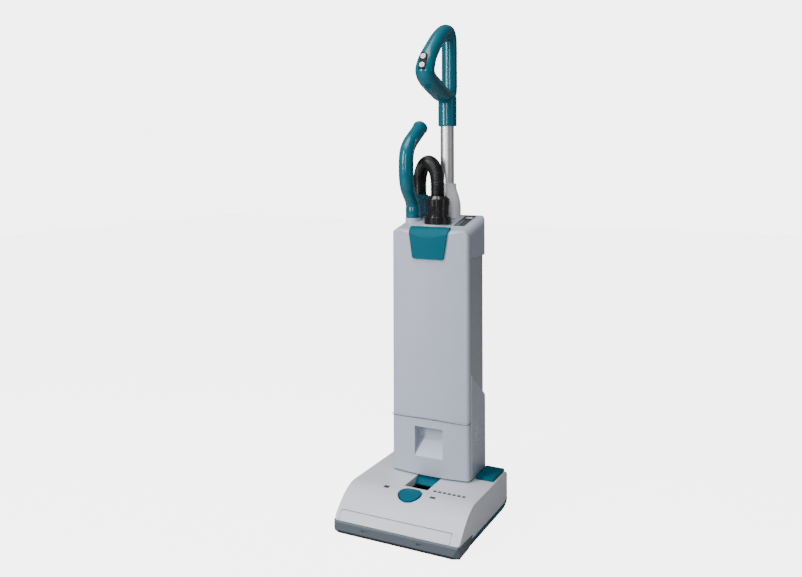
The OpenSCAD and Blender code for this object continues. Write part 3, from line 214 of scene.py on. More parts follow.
finishes = {
    "coverPlastic": {"color": (0.68, 0.70, 0.76), "other": (0.61, 0.63, 0.69), "rough": 0.36, "grain": 1100,
                     "bump": 0.05, "coat": 0.15, "edge": 0.003, "scuff": 0.25},
    "bodyPlastic": {"color": (0.46, 0.50, 0.60), "other": (0.40, 0.44, 0.54), "rough": 0.38, "grain": 1100,
                    "bump": 0.05, "coat": 0.12, "edge": 0.0012, "scuff": 0.25},
    "rearPlastic": {"color": (0.40, 0.43, 0.48), "other": (0.34, 0.37, 0.42), "rough": 0.42, "grain": 900,
                    "bump": 0.09, "coat": 0.05, "edge": 0.0012, "scuff": 0.3},
    "tealPlastic": {"color": (0.0, 0.105, 0.16), "other": (0.0, 0.09, 0.135), "rough": 0.42, "grain": 700,
                    "bump": 0.02, "coat": 0.0, "edge": 0.0009, "scuff": 0.12, "gloss": 0.1},
    "tealGloss": {"color": (0.0, 0.115, 0.165), "other": (0.0, 0.10, 0.145), "rough": 0.3, "grain": 700,
                  "bump": 0.0, "coat": 0.6, "edge": 0, "scuff": 0.05, "gloss": 0.15},
    "collarPlastic": {"color": (0.84, 0.85, 0.88), "other": (0.78, 0.79, 0.82), "rough": 0.34, "grain": 1100,
                      "bump": 0.03, "coat": 0.15, "edge": 0.0012, "scuff": 0.15},
    "latchPlastic": {"color": (0.0, 0.105, 0.15), "other": (0.0, 0.09, 0.13), "rough": 0.5, "grain": 700,
                     "bump": 0.02, "coat": 0.0, "edge": 0.0009, "scuff": 0.12, "gloss": 0.1},
    "chassisPlastic": {"color": (0.0, 0.10, 0.145), "other": (0.0, 0.085, 0.12), "rough": 0.45, "grain": 900,
                       "bump": 0.08, "coat": 0.0, "edge": 0.0009, "scuff": 0.3, "gloss": 0.15},
    "bumperPlastic": {"color": (0.082, 0.100, 0.125), "other": (0.066, 0.083, 0.105), "rough": 0.5, "grain": 800,
                      "bump": 0.14, "coat": 0.0, "edge": 0.0012, "scuff": 0.45},
    "blackGloss": {"color": (0.006, 0.005, 0.006), "other": (0.010, 0.008, 0.009), "rough": 0.2, "grain": 700,
                   "bump": 0.02, "coat": 0.6, "edge": 0.0007, "scuff": 0.15},
    "blackSatin": {"color": (0.016, 0.017, 0.019), "other": (0.024, 0.025, 0.027), "rough": 0.45, "grain": 900,
                   "bump": 0.08, "coat": 0.0, "edge": 0.0006, "scuff": 0.2},
    "hosePlastic": {"color": (0.002, 0.002, 0.0025), "other": (0.004, 0.004, 0.0045), "rough": 0.3, "grain": 900,
                    "bump": 0.03, "coat": 0.0, "edge": 0, "scuff": 0.1},
    "displayGloss": {"color": (0.008, 0.009, 0.011), "other": (0.012, 0.013, 0.016), "rough": 0.38, "grain": 500,
                     "bump": 0.01, "coat": 0.15, "edge": 0.0004, "scuff": 0.1},
    "greyPlastic": {"color": (0.065, 0.07, 0.078), "other": (0.05, 0.054, 0.06), "rough": 0.5, "grain": 900,
                    "bump": 0.1, "coat": 0.0, "edge": 0.0006, "scuff": 0.3},
    "buttonPlastic": {"color": (0.93, 0.94, 0.95), "other": (0.87, 0.88, 0.90), "rough": 0.3, "grain": 900,
                      "bump": 0.03, "coat": 0.2, "edge": 0.0005, "scuff": 0.1},
    "markInk": {"color": (0.09, 0.10, 0.12), "other": (0.12, 0.13, 0.15), "rough": 0.45, "grain": 900,
                "bump": 0.02, "coat": 0.0, "edge": 0, "scuff": 0.2},
    "seamGrey": {"color": (0.085, 0.09, 0.105), "other": (0.07, 0.075, 0.09), "rough": 0.6, "grain": 900,
                 "bump": 0.02, "coat": 0.0, "edge": 0, "scuff": 0.1},
    # pale finish: painted highlight on the side strips, and the pale rings round the vent holes
    "highlightStripAndVentPale": {"color": (0.66, 0.69, 0.77), "other": (0.60, 0.63, 0.71), "rough": 0.4, "grain": 900,
                     "bump": 0.02, "coat": 0.0, "edge": 0, "scuff": 0.1},
    "deckInk": {"color": (0.035, 0.038, 0.045), "other": (0.05, 0.054, 0.06), "rough": 0.5, "grain": 900,
                "bump": 0.02, "coat": 0.0, "edge": 0, "scuff": 0.2},
    "paleInk": {"color": (0.30, 0.31, 0.33), "other": (0.24, 0.25, 0.27), "rough": 0.4, "grain": 900,
                "bump": 0.02, "coat": 0.0, "edge": 0, "scuff": 0.1},
    "screenWhite": {"color": (0.85, 0.86, 0.87), "other": (0.78, 0.79, 0.80), "rough": 0.25, "grain": 900,
                    "bump": 0.01, "coat": 0.3, "edge": 0, "scuff": 0.05},
    # black of the switch pad, and painted shade for the dark skins in the dial pocket and the window recess
    "padBlackAndRecessShade": {"color": (0.005, 0.0055, 0.007), "other": (0.008, 0.009, 0.011), "rough": 0.6, "grain": 900,
                    "bump": 0.08, "coat": 0.0, "edge": 0, "scuff": 0.1, "gloss": 0.2},
    "tyreRubber": {"color": (0.022, 0.023, 0.025), "other": (0.035, 0.035, 0.036), "rough": 0.72, "grain": 500,
                   "bump": 0.2, "coat": 0.0, "edge": 0.0006, "scuff": 0.5},
    "blackRubber": {"color": (0.012, 0.012, 0.013), "other": (0.02, 0.02, 0.02), "rough": 0.68, "grain": 600,
                    "bump": 0.15, "coat": 0.0, "edge": 0.0005, "scuff": 0.3},
    "bristleNylon": {"color": (0.02, 0.02, 0.023), "other": (0.04, 0.04, 0.043), "rough": 0.55, "grain": 1500,
                     "bump": 0.2, "coat": 0.0, "edge": 0, "scuff": 0.0},
    "filterFleece": {"color": (0.68, 0.69, 0.70), "other": (0.55, 0.56, 0.57), "rough": 0.92, "grain": 1400,
                     "bump": 0.6, "coat": 0.0, "edge": 0, "scuff": 0.0},
    "filterFoam": {"color": (0.03, 0.033, 0.037), "other": (0.06, 0.063, 0.067), "rough": 0.95, "grain": 650,
                   "bump": 0.9, "coat": 0.0, "edge": 0, "scuff": 0.0},
    "bagFleece": {"color": (0.74, 0.70, 0.60), "other": (0.62, 0.58, 0.48), "rough": 0.9, "grain": 1200,
                  "bump": 0.5, "coat": 0.0, "edge": 0, "scuff": 0.0},
}
metals = {
    "poleMetal": {"color": (0.90, 0.91, 0.93), "rough": 0.40, "streak": (260, 260, 3), "bump": 0.0},
    "steelPart": {"color": (0.56, 0.56, 0.57), "rough": 0.3, "streak": (4, 420, 420), "bump": 0.06},
    "motorMetal": {"color": (0.33, 0.34, 0.36), "rough": 0.42, "streak": (60, 60, 60), "bump": 0.1},
}


def placeGroup(tree, group, vector, values):
    node = tree.nodes.new("ShaderNodeGroup")
    node.node_tree = groups[group]
    tree.links.new(vector, node.inputs["Vector"])
    for label, value in values.items():
        node.inputs[label].default_value = value
    return node


def startMaterial(name):
    material = bpy.data.materials.new(name)
    material.use_nodes = True
    tree = material.node_tree
    shader = tree.nodes["Principled BSDF"]
    place = tree.nodes.new("ShaderNodeTexCoord").outputs["Object"]
    return material, tree, shader, place


# what all moulded finishes share, and what all metals share
moulded = {"bumpDepth": 0.0004, "edgeSamples": 6, "coatRough": 0.14, "drift": 0.7, "driftSize": 9.0,
           "roughVary": 0.12, "scuffSize": 46.0, "scuffRough": 0.4, "gloss": 0.5}
brushed = {"noiseSize": 4, "detail": 4, "dark": 0.84, "roughSwing": 0.12, "scuffSize": 30.0, "scuffRough": 0.08}


def addBump(tree, shader, height, strength, edge):
    bump = tree.nodes.new("ShaderNodeBump")
    bump.inputs["Strength"].default_value = strength
    bump.inputs["Distance"].default_value = moulded["bumpDepth"]
    tree.links.new(height, bump.inputs["Height"])
    if edge:  # soft moulded edges
        soft = tree.nodes.new("ShaderNodeBevel")
        soft.samples = moulded["edgeSamples"]
        soft.inputs["Radius"].default_value = edge
        tree.links.new(soft.outputs["Normal"], bump.inputs["Normal"])
    tree.links.new(bump.outputs["Normal"], shader.inputs["Normal"])


def mouldedFinish(name, spec):
    material, tree, shader, place = startMaterial(name)
    drift = placeGroup(tree, "drift", place, {
        "Color": (*spec["color"], 1), "Other": (*spec["other"], 1), "Amount": moulded["drift"],
        "Size": moulded["driftSize"]})
    grain = placeGroup(tree, "grain", place, {
        "Size": spec["grain"], "Rough": spec["rough"], "Vary": moulded["roughVary"]})
    scuffs = placeGroup(tree, "scuffs", place, {"Size": moulded["scuffSize"]})
    rough = addMath(tree, "ADD", grain.outputs["Roughness"],
                    addMath(tree, "MULTIPLY", scuffs.outputs["Mask"], spec["scuff"] * moulded["scuffRough"]))
    tree.links.new(drift.outputs["Color"], shader.inputs["Base Color"])
    tree.links.new(rough, shader.inputs["Roughness"])
    shader.inputs["Specular IOR Level"].default_value = spec.get("gloss", moulded["gloss"])
    shader.inputs["Coat Weight"].default_value = spec["coat"]
    shader.inputs["Coat Roughness"].default_value = moulded["coatRough"]
    addBump(tree, shader, grain.outputs["Height"], spec["bump"], spec["edge"])
    return material


def metalFinish(name, spec):
    material, tree, shader, place = startMaterial(name)
    mapping = tree.nodes.new("ShaderNodeMapping")
    mapping.inputs["Scale"].default_value = spec["streak"]
    noise = tree.nodes.new("ShaderNodeTexNoise")
    noise.inputs["Scale"].default_value = brushed["noiseSize"]
    noise.inputs["Detail"].default_value = brushed["detail"]
    tree.links.new(place, mapping.inputs["Vector"])
    tree.links.new(mapping.outputs["Vector"], noise.inputs["Vector"])
    tone = tree.nodes.new("ShaderNodeMix")
    tone.data_type = "RGBA"
    tone.inputs["A"].default_value = (*spec["color"], 1)
    tone.inputs["B"].default_value = (*[c * brushed["dark"] for c in spec["color"]], 1)
    tree.links.new(noise.outputs["Fac"], tone.inputs["Factor"])
    tree.links.new(tone.outputs["Result"], shader.inputs["Base Color"])
    scuffs = placeGroup(tree, "scuffs", place, {"Size": brushed["scuffSize"]})
    swing = brushed["roughSwing"]
    rough = addMath(tree, "ADD", addMath(tree, "MULTIPLY", noise.outputs["Fac"], swing), spec["rough"] - swing / 2)
    worn = addMath(tree, "MULTIPLY", scuffs.outputs["Mask"], brushed["scuffRough"])
    tree.links.new(addMath(tree, "ADD", rough, worn), shader.inputs["Roughness"])
    shader.inputs["Metallic"].default_value = 1
    addBump(tree, shader, noise.outputs["Fac"], spec["bump"], 0)
    return material


paint = {name: mouldedFinish(name, spec) for name, spec in finishes.items()}
paint.update({name: metalFinish(name, spec) for name, spec in metals.items()})
print("finishes are mixed:", len(paint))


nodeFinish = {
    "coverPlastic": ["head_cover", "front_cover"],
    "collarPlastic": ["pole_collar"],
    "bodyPlastic": ["lower_housing", "top_cap", "bag_door"],
    "rearPlastic": ["rear_housing", "battery_cover"],
    "tealPlastic": ["window_ramp", "height_dial", "release_pedal", "handle_grip", "lock_button", "hose_handle"],
    "latchPlastic": ["door_latch"],
    "chassisPlastic": ["head_chassis", "battery_packs"],
    "bumperPlastic": ["bumper"],
    "blackGloss": ["hose_cuff"],
    "blackSatin": ["sole_plate", "air_duct", "air_pipe", "battery_tray"],
    "padBlackAndRecessShade": ["switch_pad"],
    "displayGloss": ["display_panel"],
    "hosePlastic": ["hose"],
    "greyPlastic": ["brush_bearings", "neck_bearings", "brush_core", "brush_pulley", "rear_hub_left",
                    "rear_hub_right", "front_carriage", "neck", "filter_tray", "bag_collar"],
    "buttonPlastic": ["power_button", "mode_button"],
    "tyreRubber": ["rear_tyre_left", "rear_tyre_right", "front_roller_left", "front_roller_right"],
    "blackRubber": ["bumper_lip", "drive_belt", "motor_mount", "door_seal"],
    "bristleNylon": ["brush_bristles"],
    "filterFleece": ["exhaust_filter"],
    "filterFoam": ["motor_filter"],
    "bagFleece": ["dust_bag"],
    "poleMetal": ["pole"],
    "steelPart": ["sole_screws", "brush_motor", "rear_axles", "pedal_pin", "latch_pin"],
    "motorMetal": ["motor_pinion", "suction_motor", "fan_housing", "fan_rotor"],
}
for finish, names in nodeFinish.items():
    for name in names:
        mesh = nodes[name].data
        mesh.materials.clear()
        mesh.materials.append(paint[finish])
print("nodes are painted:", sum(len(names) for names in nodeFinish.values()))


def clearSelection():
    if bpy.context.mode != "OBJECT":
        bpy.ops.object.mode_set(mode="OBJECT")
    bpy.ops.object.select_all(action="DESELECT")


def pick(piece):
    clearSelection()
    piece.select_set(True)
    bpy.context.view_layer.objects.active = piece


def useModifier(piece, kind, **values):
    pick(piece)
    bpy.ops.object.modifier_add(type=kind)
    modifier = piece.modifiers[-1]
    for name, value in values.items():
        setattr(modifier, name, value)
    bpy.ops.object.modifier_apply(modifier=modifier.name)


mergeGap = 0.000004


def turnOut(piece):  # one skin with its faces outwards
    pick(piece)
    bpy.ops.object.transform_apply(location=True, rotation=True, scale=True)
    bpy.ops.object.mode_set(mode="EDIT")
    bpy.ops.mesh.select_all(action="SELECT")
    bpy.ops.mesh.remove_doubles(threshold=mergeGap)
    bpy.ops.mesh.normals_make_consistent(inside=False)
    bpy.ops.object.mode_set(mode="OBJECT")


def finishPiece(piece, finish, body=None, smooth=35):
    pick(piece)
    bpy.ops.object.shade_smooth_by_angle(angle=math.radians(smooth))
    piece.data.materials.clear()
    piece.data.materials.append(paint[finish])
    if body:
        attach(piece, body)


def joinPieces(name, parts):
    clearSelection()
    for part in parts:
        part.select_set(True)
    bpy.context.view_layer.objects.active = parts[0]
    if len(parts) > 1:
        bpy.ops.object.join()
    parts[0].name = name
    return parts[0]


def selectRings(first, second, sides):
    bpy.ops.mesh.select_all(action="DESELECT")
    mesh = bmesh.from_edit_mesh(bpy.context.edit_object.data)
    mesh.verts.index_update()
    for edge in mesh.edges:
        a, b = [vertex.index // sides for vertex in edge.verts]
        if a == b and a in (first, second):
            edge.select = True
    bmesh.update_edit_mesh(bpy.context.edit_object.data)


def ringBody(name, rings, sides, closed=False):
    # rings one after the other, each with its middle, its tilt about X and its two radii, then bridged
    clearSelection()
    bpy.ops.mesh.primitive_circle_add(vertices=3, radius=0.001)
    piece = bpy.context.active_object
    piece.name = name
    bpy.ops.object.mode_set(mode="EDIT")
    bpy.ops.mesh.select_all(action="SELECT")
    bpy.ops.mesh.delete(type="VERT")
    bpy.ops.mesh.select_mode(type="EDGE")
    for place, tilt, wide, thick in rings:
        bpy.ops.mesh.primitive_circle_add(vertices=sides, radius=thick, location=place, rotation=(tilt, 0, 0))
        if wide != thick:
            bpy.ops.transform.resize(value=(wide / thick, 1, 1), center_override=place)
    for i in range(len(rings) - 1 + (1 if closed else 0)):
        selectRings(i, (i + 1) % len(rings), sides)
        bpy.ops.mesh.bridge_edge_loops()
    if not closed:
        for i in (0, len(rings) - 1):
            selectRings(i, i, sides)
            bpy.ops.mesh.edge_face_add()
    bpy.ops.mesh.select_mode(type="VERT")
    bpy.ops.object.mode_set(mode="OBJECT")
    turnOut(piece)
    return piece


def turnedBody(name, middle, profile, sides=48, closed=False):  # profile: (radius, height) from below
    rings = [((middle[0], middle[1], z), 0, r, r) for r, z in profile]
    return ringBody(name, rings, sides, closed)


def curveAt(points, u, closed):
    count = len(points)
    i = int(math.floor(u))
    t = u - i
    if closed:
        a, b, c, d = (points[(i + k) % count] for k in (-1, 0, 1, 2))
    else:
        i, t = (count - 2, 1.0) if i >= count - 1 else (i, t)
        a, b, c, d = (points[min(max(i + k, 0), count - 1)] for k in (-1, 0, 1, 2))
    return [0.5 * (2 * q + (r - p) * t + (2 * p - 5 * q + 4 * r - s) * t * t + (3 * q - p - 3 * r + s) * t ** 3)
            for p, q, r, s in zip(a, b, c, d)]


def routeRings(x, y, route, steps, closed):  # route: (y, z, half width, half thickness) in one upright plane
    count = len(route) * steps if closed else (len(route) - 1) * steps + 1
    path = [curveAt(route, i / steps, closed) for i in range(count)]
    rings = []
    for i, (dy, z, wide, thick) in enumerate(path):
        a = path[i - 1] if closed or i else path[0]
        b = path[(i + 1) % count] if closed or i < count - 1 else path[-1]
        tilt = math.atan2(b[1] - a[1], b[0] - a[0]) - math.pi / 2
        rings.append(((x, y + dy, z), tilt, wide, thick))
    return rings


def cutBlock(low, high, round=0.0, sides=4):  # cutter with rounded upright edges
    clearSelection()
    middle = [(a + b) / 2 for a, b in zip(low, high)]
    bpy.ops.mesh.primitive_cube_add(size=1, location=middle, scale=[b - a for a, b in zip(low, high)])
    cutter = bpy.context.active_object
    bpy.ops.object.transform_apply(location=True, rotation=False, scale=True)
    if round:
        useModifier(cutter, "BEVEL", width=round, segments=sides, limit_method="ANGLE", affect="EDGES")
    return cutter


def cutAway(piece, cutters):
    for cutter in cutters:
        useModifier(piece, "BOOLEAN", operation="DIFFERENCE", solver="EXACT", object=cutter)
        bpy.data.objects.remove(cutter)


def fuse(piece, voxel, smoothing):  # one moulded skin with soft inner corners
    pick(piece)
    piece.data.remesh_voxel_size = voxel
    bpy.ops.object.voxel_remesh()
    useModifier(piece, "SMOOTH", factor=0.5, iterations=smoothing)


# the loop grip on top of the pole
loopGrip = {
    "sleeve": (0.0, 0.151), "sleeveRadius": 0.0233, "sleeveLow": 0.930, "sleeveTop": 0.998,
    "poleRadius": 0.01705, "poleTop": 0.972,
    "route": [
        (0.0145, 1.030, 0.0200, 0.0165), (0.0145, 1.080, 0.0200, 0.0165), (0.0145, 1.125, 0.0200, 0.0165),
        (0.012, 1.152, 0.0200, 0.0165), (0.002, 1.168, 0.0195, 0.0162), (-0.017, 1.1690, 0.0190, 0.0160),
        (-0.042, 1.158, 0.0190, 0.0170), (-0.072, 1.139, 0.0195, 0.0175), (-0.102, 1.115, 0.0205, 0.0180),
        (-0.126, 1.094, 0.0220, 0.0185), (-0.140, 1.076, 0.0235, 0.0190), (-0.147, 1.058, 0.0240, 0.0195),
        (-0.135, 1.043, 0.0235, 0.0210), (-0.109, 1.032, 0.0225, 0.0225), (-0.076, 1.021, 0.0220, 0.0225),
        (-0.044, 1.010, 0.0215, 0.0205), (-0.009, 1.006, 0.0190, 0.0155), (0.011, 1.012, 0.0190, 0.0180)],
    "padPlace": (0.0, -0.009, 1.081), "padTilt": 72, "padRadius": 0.0092, "padReach": 0.013,
    "padFloor": -0.0041, "padSpare": 0.03, "padRound": 12,
    "lockLow": (-0.0063, 0.1683, 0.966), "lockHigh": (0.0063, 0.184, 1.0004),
    "steps": 4, "sides": 28, "rim": 0.0006, "domeStep": 11, "domeTip": 0.0004, "voxel": 0.0011, "smoothing": 12,
}


def padPoint(x, y, z):  # a point in the tilted frame of the buttons' pad
    tilt = math.radians(loopGrip["padTilt"])
    px, py, pz = loopGrip["padPlace"]
    return (px + x, py + y * math.cos(tilt) - z * math.sin(tilt), pz + y * math.sin(tilt) + z * math.cos(tilt))


def shapeGrip():
    spec = loopGrip
    x, y = spec["sleeve"]
    loop = ringBody("gripShell", routeRings(x, y, spec["route"], spec["steps"], True), spec["sides"], closed=True)
    r, low, top, rim = spec["sleeveRadius"], spec["sleeveLow"], spec["sleeveTop"], spec["rim"]
    dome = [(r * math.cos(math.radians(a)), top + r * math.sin(math.radians(a)))
            for a in range(0, 90, spec["domeStep"])]
    sleeve = turnedBody("gripSleeve", (x, y),
                        [(r - rim, low), (r, low + rim)] + dome + [(spec["domeTip"], top + r)])
    grip = joinPieces("gripShell", [loop, sleeve])
    fuse(grip, spec["voxel"], spec["smoothing"])
    bore = turnedBody("bore", (x, y), [(spec["poleRadius"], low - 0.01), (spec["poleRadius"], spec["poleTop"])])
    lock = cutBlock(spec["lockLow"], spec["lockHigh"])
    reach, radius = spec["padReach"], spec["padRadius"]
    pad = cutBlock((-radius, -reach - radius, spec["padFloor"]), (radius, reach + radius, spec["padSpare"]))
    pick(pad)
    bpy.ops.object.mode_set(mode="EDIT")  # round ends for the pad's pocket
    mesh = bmesh.from_edit_mesh(pad.data)
    for edge in mesh.edges:
        ends = [vertex.co for vertex in edge.verts]
        edge.select = abs(ends[0].z - ends[1].z) > 0.01
    bmesh.update_edit_mesh(pad.data)
    bpy.ops.mesh.bevel(offset=radius * 0.999, segments=spec["padRound"], affect="EDGES")
    bpy.ops.object.mode_set(mode="OBJECT")
    pad.rotation_euler = (math.radians(spec["padTilt"]), 0, 0)
    pad.location = spec["padPlace"]
    pick(pad)
    bpy.ops.object.transform_apply(location=True, rotation=True, scale=True)
    cutAway(grip, [bore, lock, pad])
    finishPiece(grip, "tealGloss", "upright", smooth=40)
    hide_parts("handle_grip")


# the hose handle that lifts out of its port
wand = {
    "port": (-0.074, 0.104), "low": 0.700, "bodyTop": 0.742, "radius": 0.0185,
    "spoutLow": 0.645, "spoutRadius": 0.0147, "spoutBore": 0.012, "boreTop": 0.724,
    "socket": (-0.074, 0.148), "socketRadius": 0.022, "socketLow": 0.708, "socketTop": 0.757, "hoseBore": 0.0125,
    "webHalf": 0.016, "webTop": 0.750,
    "route": [(0, 0.718), (-0.001, 0.733), (-0.010, 0.749), (-0.025, 0.764), (-0.037, 0.781), (-0.043, 0.803),
              (-0.044, 0.828), (-0.043, 0.850), (-0.036, 0.870), (-0.020, 0.887), (0.002, 0.901),
              (0.026, 0.915), (0.050, 0.930)],
    # the lip: distance back from the cane's end, and how far it stands out from the cane
    "lip": [(0.0075, -0.0008), (0.007, 0.0004), (0.0062, 0.001), (0.0022, 0.001), (0.001, 0.0003),
            (0.0004, -0.0014)],
    "mouthRadius": 0.0148, "mouthDepth": 0.03,
    # the collar: how far it stands out from the body, and its height
    "collar": [(-0.002, 0.7006), (0.0002, 0.7006), (0.0004, 0.7010), (0.0004, 0.7262), (0.0001, 0.7270),
               (-0.002, 0.7270)],
    "steps": 4, "sides": 28, "voxel": 0.001, "smoothing": 16,
}


def shapeWand():
    spec = wand
    x, y = spec["port"]
    r = spec["radius"]
    rings = routeRings(x, y, [(dy, z, r, r) for dy, z in spec["route"]], spec["steps"], False)
    cane = ringBody("cane", rings, spec["sides"])
    body = turnedBody("wandBody", (x, y), [(r - 0.001, spec["low"]), (r, spec["low"] + 0.001),
                                           (r, spec["bodyTop"])])
    sx, sy = spec["socket"]
    sr, top = spec["socketRadius"], spec["socketTop"]
    socket = turnedBody("wandSocket", (sx, sy), [
        (sr - 0.002, spec["socketLow"]), (sr, spec["socketLow"] + 0.002), (sr, top - 0.014),
        (sr, top - 0.002), (sr - 0.0015, top)])
    web = cutBlock((x - spec["webHalf"], y, spec["socketLow"]), (x + spec["webHalf"], sy, spec["webTop"]), 0.004)
    shell = joinPieces("wandShell", [cane, body, socket, web])
    fuse(shell, spec["voxel"], spec["smoothing"])
    (ex, ey, ez), tilt, _, _ = rings[-1]  # open mouth with a lip at the upper end
    ahead = Vector((0, -math.sin(tilt), math.cos(tilt)))
    end = Vector((ex, ey, ez))
    inner = spec["mouthRadius"]
    lipRings = [(end - ahead * back, tilt, r + out, r + out) for back, out in spec["lip"]]
    lipRings += [(end - ahead * back, tilt, inner, inner) for back in (spec["lip"][-1][0], spec["lip"][0][0])]
    lip = ringBody("wandLip", lipRings, 40, closed=True)
    mouth = ringBody("mouth", [(end - ahead * spec["mouthDepth"], tilt, inner, inner),
                               (end + ahead * 0.02, tilt, inner, inner)], 40)
    hoseBore = turnedBody("bore", (sx, sy), [(spec["hoseBore"], spec["socketLow"] + 0.004),
                                             (spec["hoseBore"], top + 0.01)])
    cutAway(shell, [hoseBore, mouth])
    finishPiece(shell, "tealGloss", "hose_wand", smooth=40)
    finishPiece(lip, "tealGloss", "hose_wand")
    sr, bore = spec["spoutRadius"], spec["spoutBore"]
    spout = turnedBody("wandSpout", (x, y), [
        (bore, spec["boreTop"]), (bore, spec["spoutLow"]), (sr - 0.0008, spec["spoutLow"]),
        (sr, spec["spoutLow"] + 0.001), (sr, spec["low"] - 0.003), (sr, spec["boreTop"])], closed=True)
    finishPiece(spout, "tealGloss", "hose_wand")
    collar = turnedBody("wandCollar", (x, y), [(r + out, z) for out, z in spec["collar"]], closed=True)
    finishPiece(collar, "tealGloss", "hose_wand")
    for piece in (shell, lip, spout, collar):
        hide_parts("hose_handle")


# ribbed hose between the black cuff and the hose handle
hoseSpec = {
    "route": [(0, 0.082, 0.757), (0, 0.082, 0.774), (0, 0.082, 0.791), (-0.003, 0.085, 0.808),
              (-0.011, 0.092, 0.824), (-0.022, 0.102, 0.835), (-0.037, 0.115, 0.840), (-0.052, 0.128, 0.835),
              (-0.063, 0.138, 0.824), (-0.071, 0.145, 0.808), (-0.074, 0.148, 0.791), (-0.074, 0.148, 0.774),
              (-0.074, 0.148, 0.757)],
    "ribs": 68, "ribRadius": 0.0173, "grooveRadius": 0.0159, "wall": 0.0034, "sides": 32,
}


def shapeHose():
    spec = hoseSpec
    guideCurve = bpy.data.curves.new("hoseGuide", "CURVE")
    guideCurve.dimensions = "3D"
    guideCurve.resolution_u = 24
    spline = guideCurve.splines.new("BEZIER")
    route = [Vector(point) for point in spec["route"]]
    spline.bezier_points.add(len(route) - 1)
    for i, point in enumerate(spline.bezier_points):
        lean = (route[min(i + 1, len(route) - 1)] - route[max(i - 1, 0)]) / 6
        point.co = route[i]
        point.handle_left, point.handle_right = route[i] - lean, route[i] + lean
    guide = bpy.data.objects.new("hoseGuide", guideCurve)
    bpy.context.scene.collection.objects.link(guide)
    pitch = spline.calc_length() / spec["ribs"]
    crest, groove = spec["ribRadius"], spec["grooveRadius"]
    flank = (crest + groove) / 2 + 0.0002
    # share of the pitch, and radius there
    profile = [(0, groove), (0.2, groove), (0.36, flank), (0.5, crest), (0.72, crest), (0.86, flank), (1, groove)]
    clearSelection()
    bpy.ops.mesh.primitive_circle_add(vertices=spec["sides"], radius=groove, rotation=(0, math.pi / 2, 0))
    hose = bpy.context.active_object
    hose.name = "hoseSkin"
    bpy.ops.object.transform_apply(location=False, rotation=True, scale=False)
    bpy.ops.object.mode_set(mode="EDIT")
    bpy.ops.mesh.select_all(action="SELECT")
    for (u, r), (v, s) in zip(profile, profile[1:]):
        bpy.ops.mesh.extrude_region_move(TRANSFORM_OT_translate={"value": ((v - u) * pitch, 0, 0)})
        bpy.ops.transform.resize(value=(1, s / r, s / r), center_override=(v * pitch, 0, 0))
    bpy.ops.object.mode_set(mode="OBJECT")
    useModifier(hose, "ARRAY", count=spec["ribs"], use_merge_vertices=True, merge_threshold=0.00002)
    turnOut(hose)
    useModifier(hose, "SOLIDIFY", thickness=spec["wall"], offset=-1)
    useModifier(hose, "CURVE", object=guide, deform_axis="POS_X")
    bpy.data.objects.remove(guide)
    finishPiece(hose, "hosePlastic", smooth=60)
    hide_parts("hose")
    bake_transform(hose)


shapeGrip()
shapeWand()
shapeHose()
print("grip, hose handle and hose are shaped")


# tufts of the brush in two turning rows
brushTufts = {"middle": (-0.131, 0.026), "from": -0.1055, "to": 0.1155, "count": 50, "turn": 200,
              "foot": 0.0168, "tip": 0.0248, "footRadius": 0.0013, "tipRadius": 0.0023}


def shapeTufts():
    spec = brushTufts
    clearSelection()
    bpy.ops.mesh.primitive_circle_add(vertices=3, radius=0.001)
    tufts = bpy.context.active_object
    tufts.name = "brushTufts"
    bpy.ops.object.mode_set(mode="EDIT")
    bpy.ops.mesh.select_all(action="SELECT")
    bpy.ops.mesh.delete(type="VERT")
    reach = (spec["foot"] + spec["tip"]) / 2
    for row in (0, 180):
        for i in range(spec["count"]):
            share = i / (spec["count"] - 1)
            angle = math.radians(row - spec["turn"] * share)
            x = spec["from"] + (spec["to"] - spec["from"]) * share
            place = (x, spec["middle"][0] + reach * math.sin(angle), spec["middle"][1] - reach * math.cos(angle))
            bpy.ops.mesh.primitive_cone_add(
                vertices=7, radius1=spec["footRadius"], radius2=spec["tipRadius"],
                depth=spec["tip"] - spec["foot"], location=place, rotation=(math.pi + angle, 0, 0))
    bpy.ops.object.mode_set(mode="OBJECT")
    turnOut(tufts)
    finishPiece(tufts, "bristleNylon", "brush")
    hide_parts("brush_bristles")


# fleece bag in the body, filled and slack at its corners
fleeceBag = {"low": (-0.0515, 0.0475, 0.2475), "high": (0.0875, 0.1045, 0.6235), "cuts": 22, "round": 10,
             "fold": 0.0026, "foldSize": 0.045}


def shapeBag():
    spec = fleeceBag
    low, high = Vector(spec["low"]), Vector(spec["high"])
    size = high - low
    clearSelection()
    bpy.ops.mesh.primitive_cube_add(size=1, location=(low + high) / 2, scale=size)
    bag = bpy.context.active_object
    bag.name = "fleeceBag"
    bpy.ops.object.transform_apply(location=True, rotation=False, scale=True)
    bpy.ops.object.mode_set(mode="EDIT")
    bpy.ops.mesh.select_all(action="SELECT")
    bpy.ops.mesh.subdivide(number_cuts=spec["cuts"])
    bpy.ops.mesh.vertices_smooth(factor=0.5, repeat=spec["round"])
    bpy.ops.object.mode_set(mode="OBJECT")
    folds = bpy.data.textures.new("bagFolds", "CLOUDS")
    folds.noise_scale = spec["foldSize"]
    useModifier(bag, "DISPLACE", texture=folds, texture_coords="LOCAL", strength=-2 * spec["fold"], mid_level=0.3)
    useModifier(bag, "SUBSURF", levels=1, render_levels=1)
    for vertex in bag.data.vertices:  # stays in its compartment
        vertex.co = [min(max(c, a), b) for c, a, b in zip(vertex.co, low, high)]
    turnOut(bag)
    finishPiece(bag, "bagFleece", "upright", smooth=60)
    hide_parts("dust_bag")


shapeTufts()
shapeBag()
print("tufts and bag are shaped")


def topOf(node, x, y):  # height of a node's upper face at a point
    _, place, _, _ = nodes[node].ray_cast(Vector((x, y, 1.5)), Vector((0, 0, -1)))
    return place.z


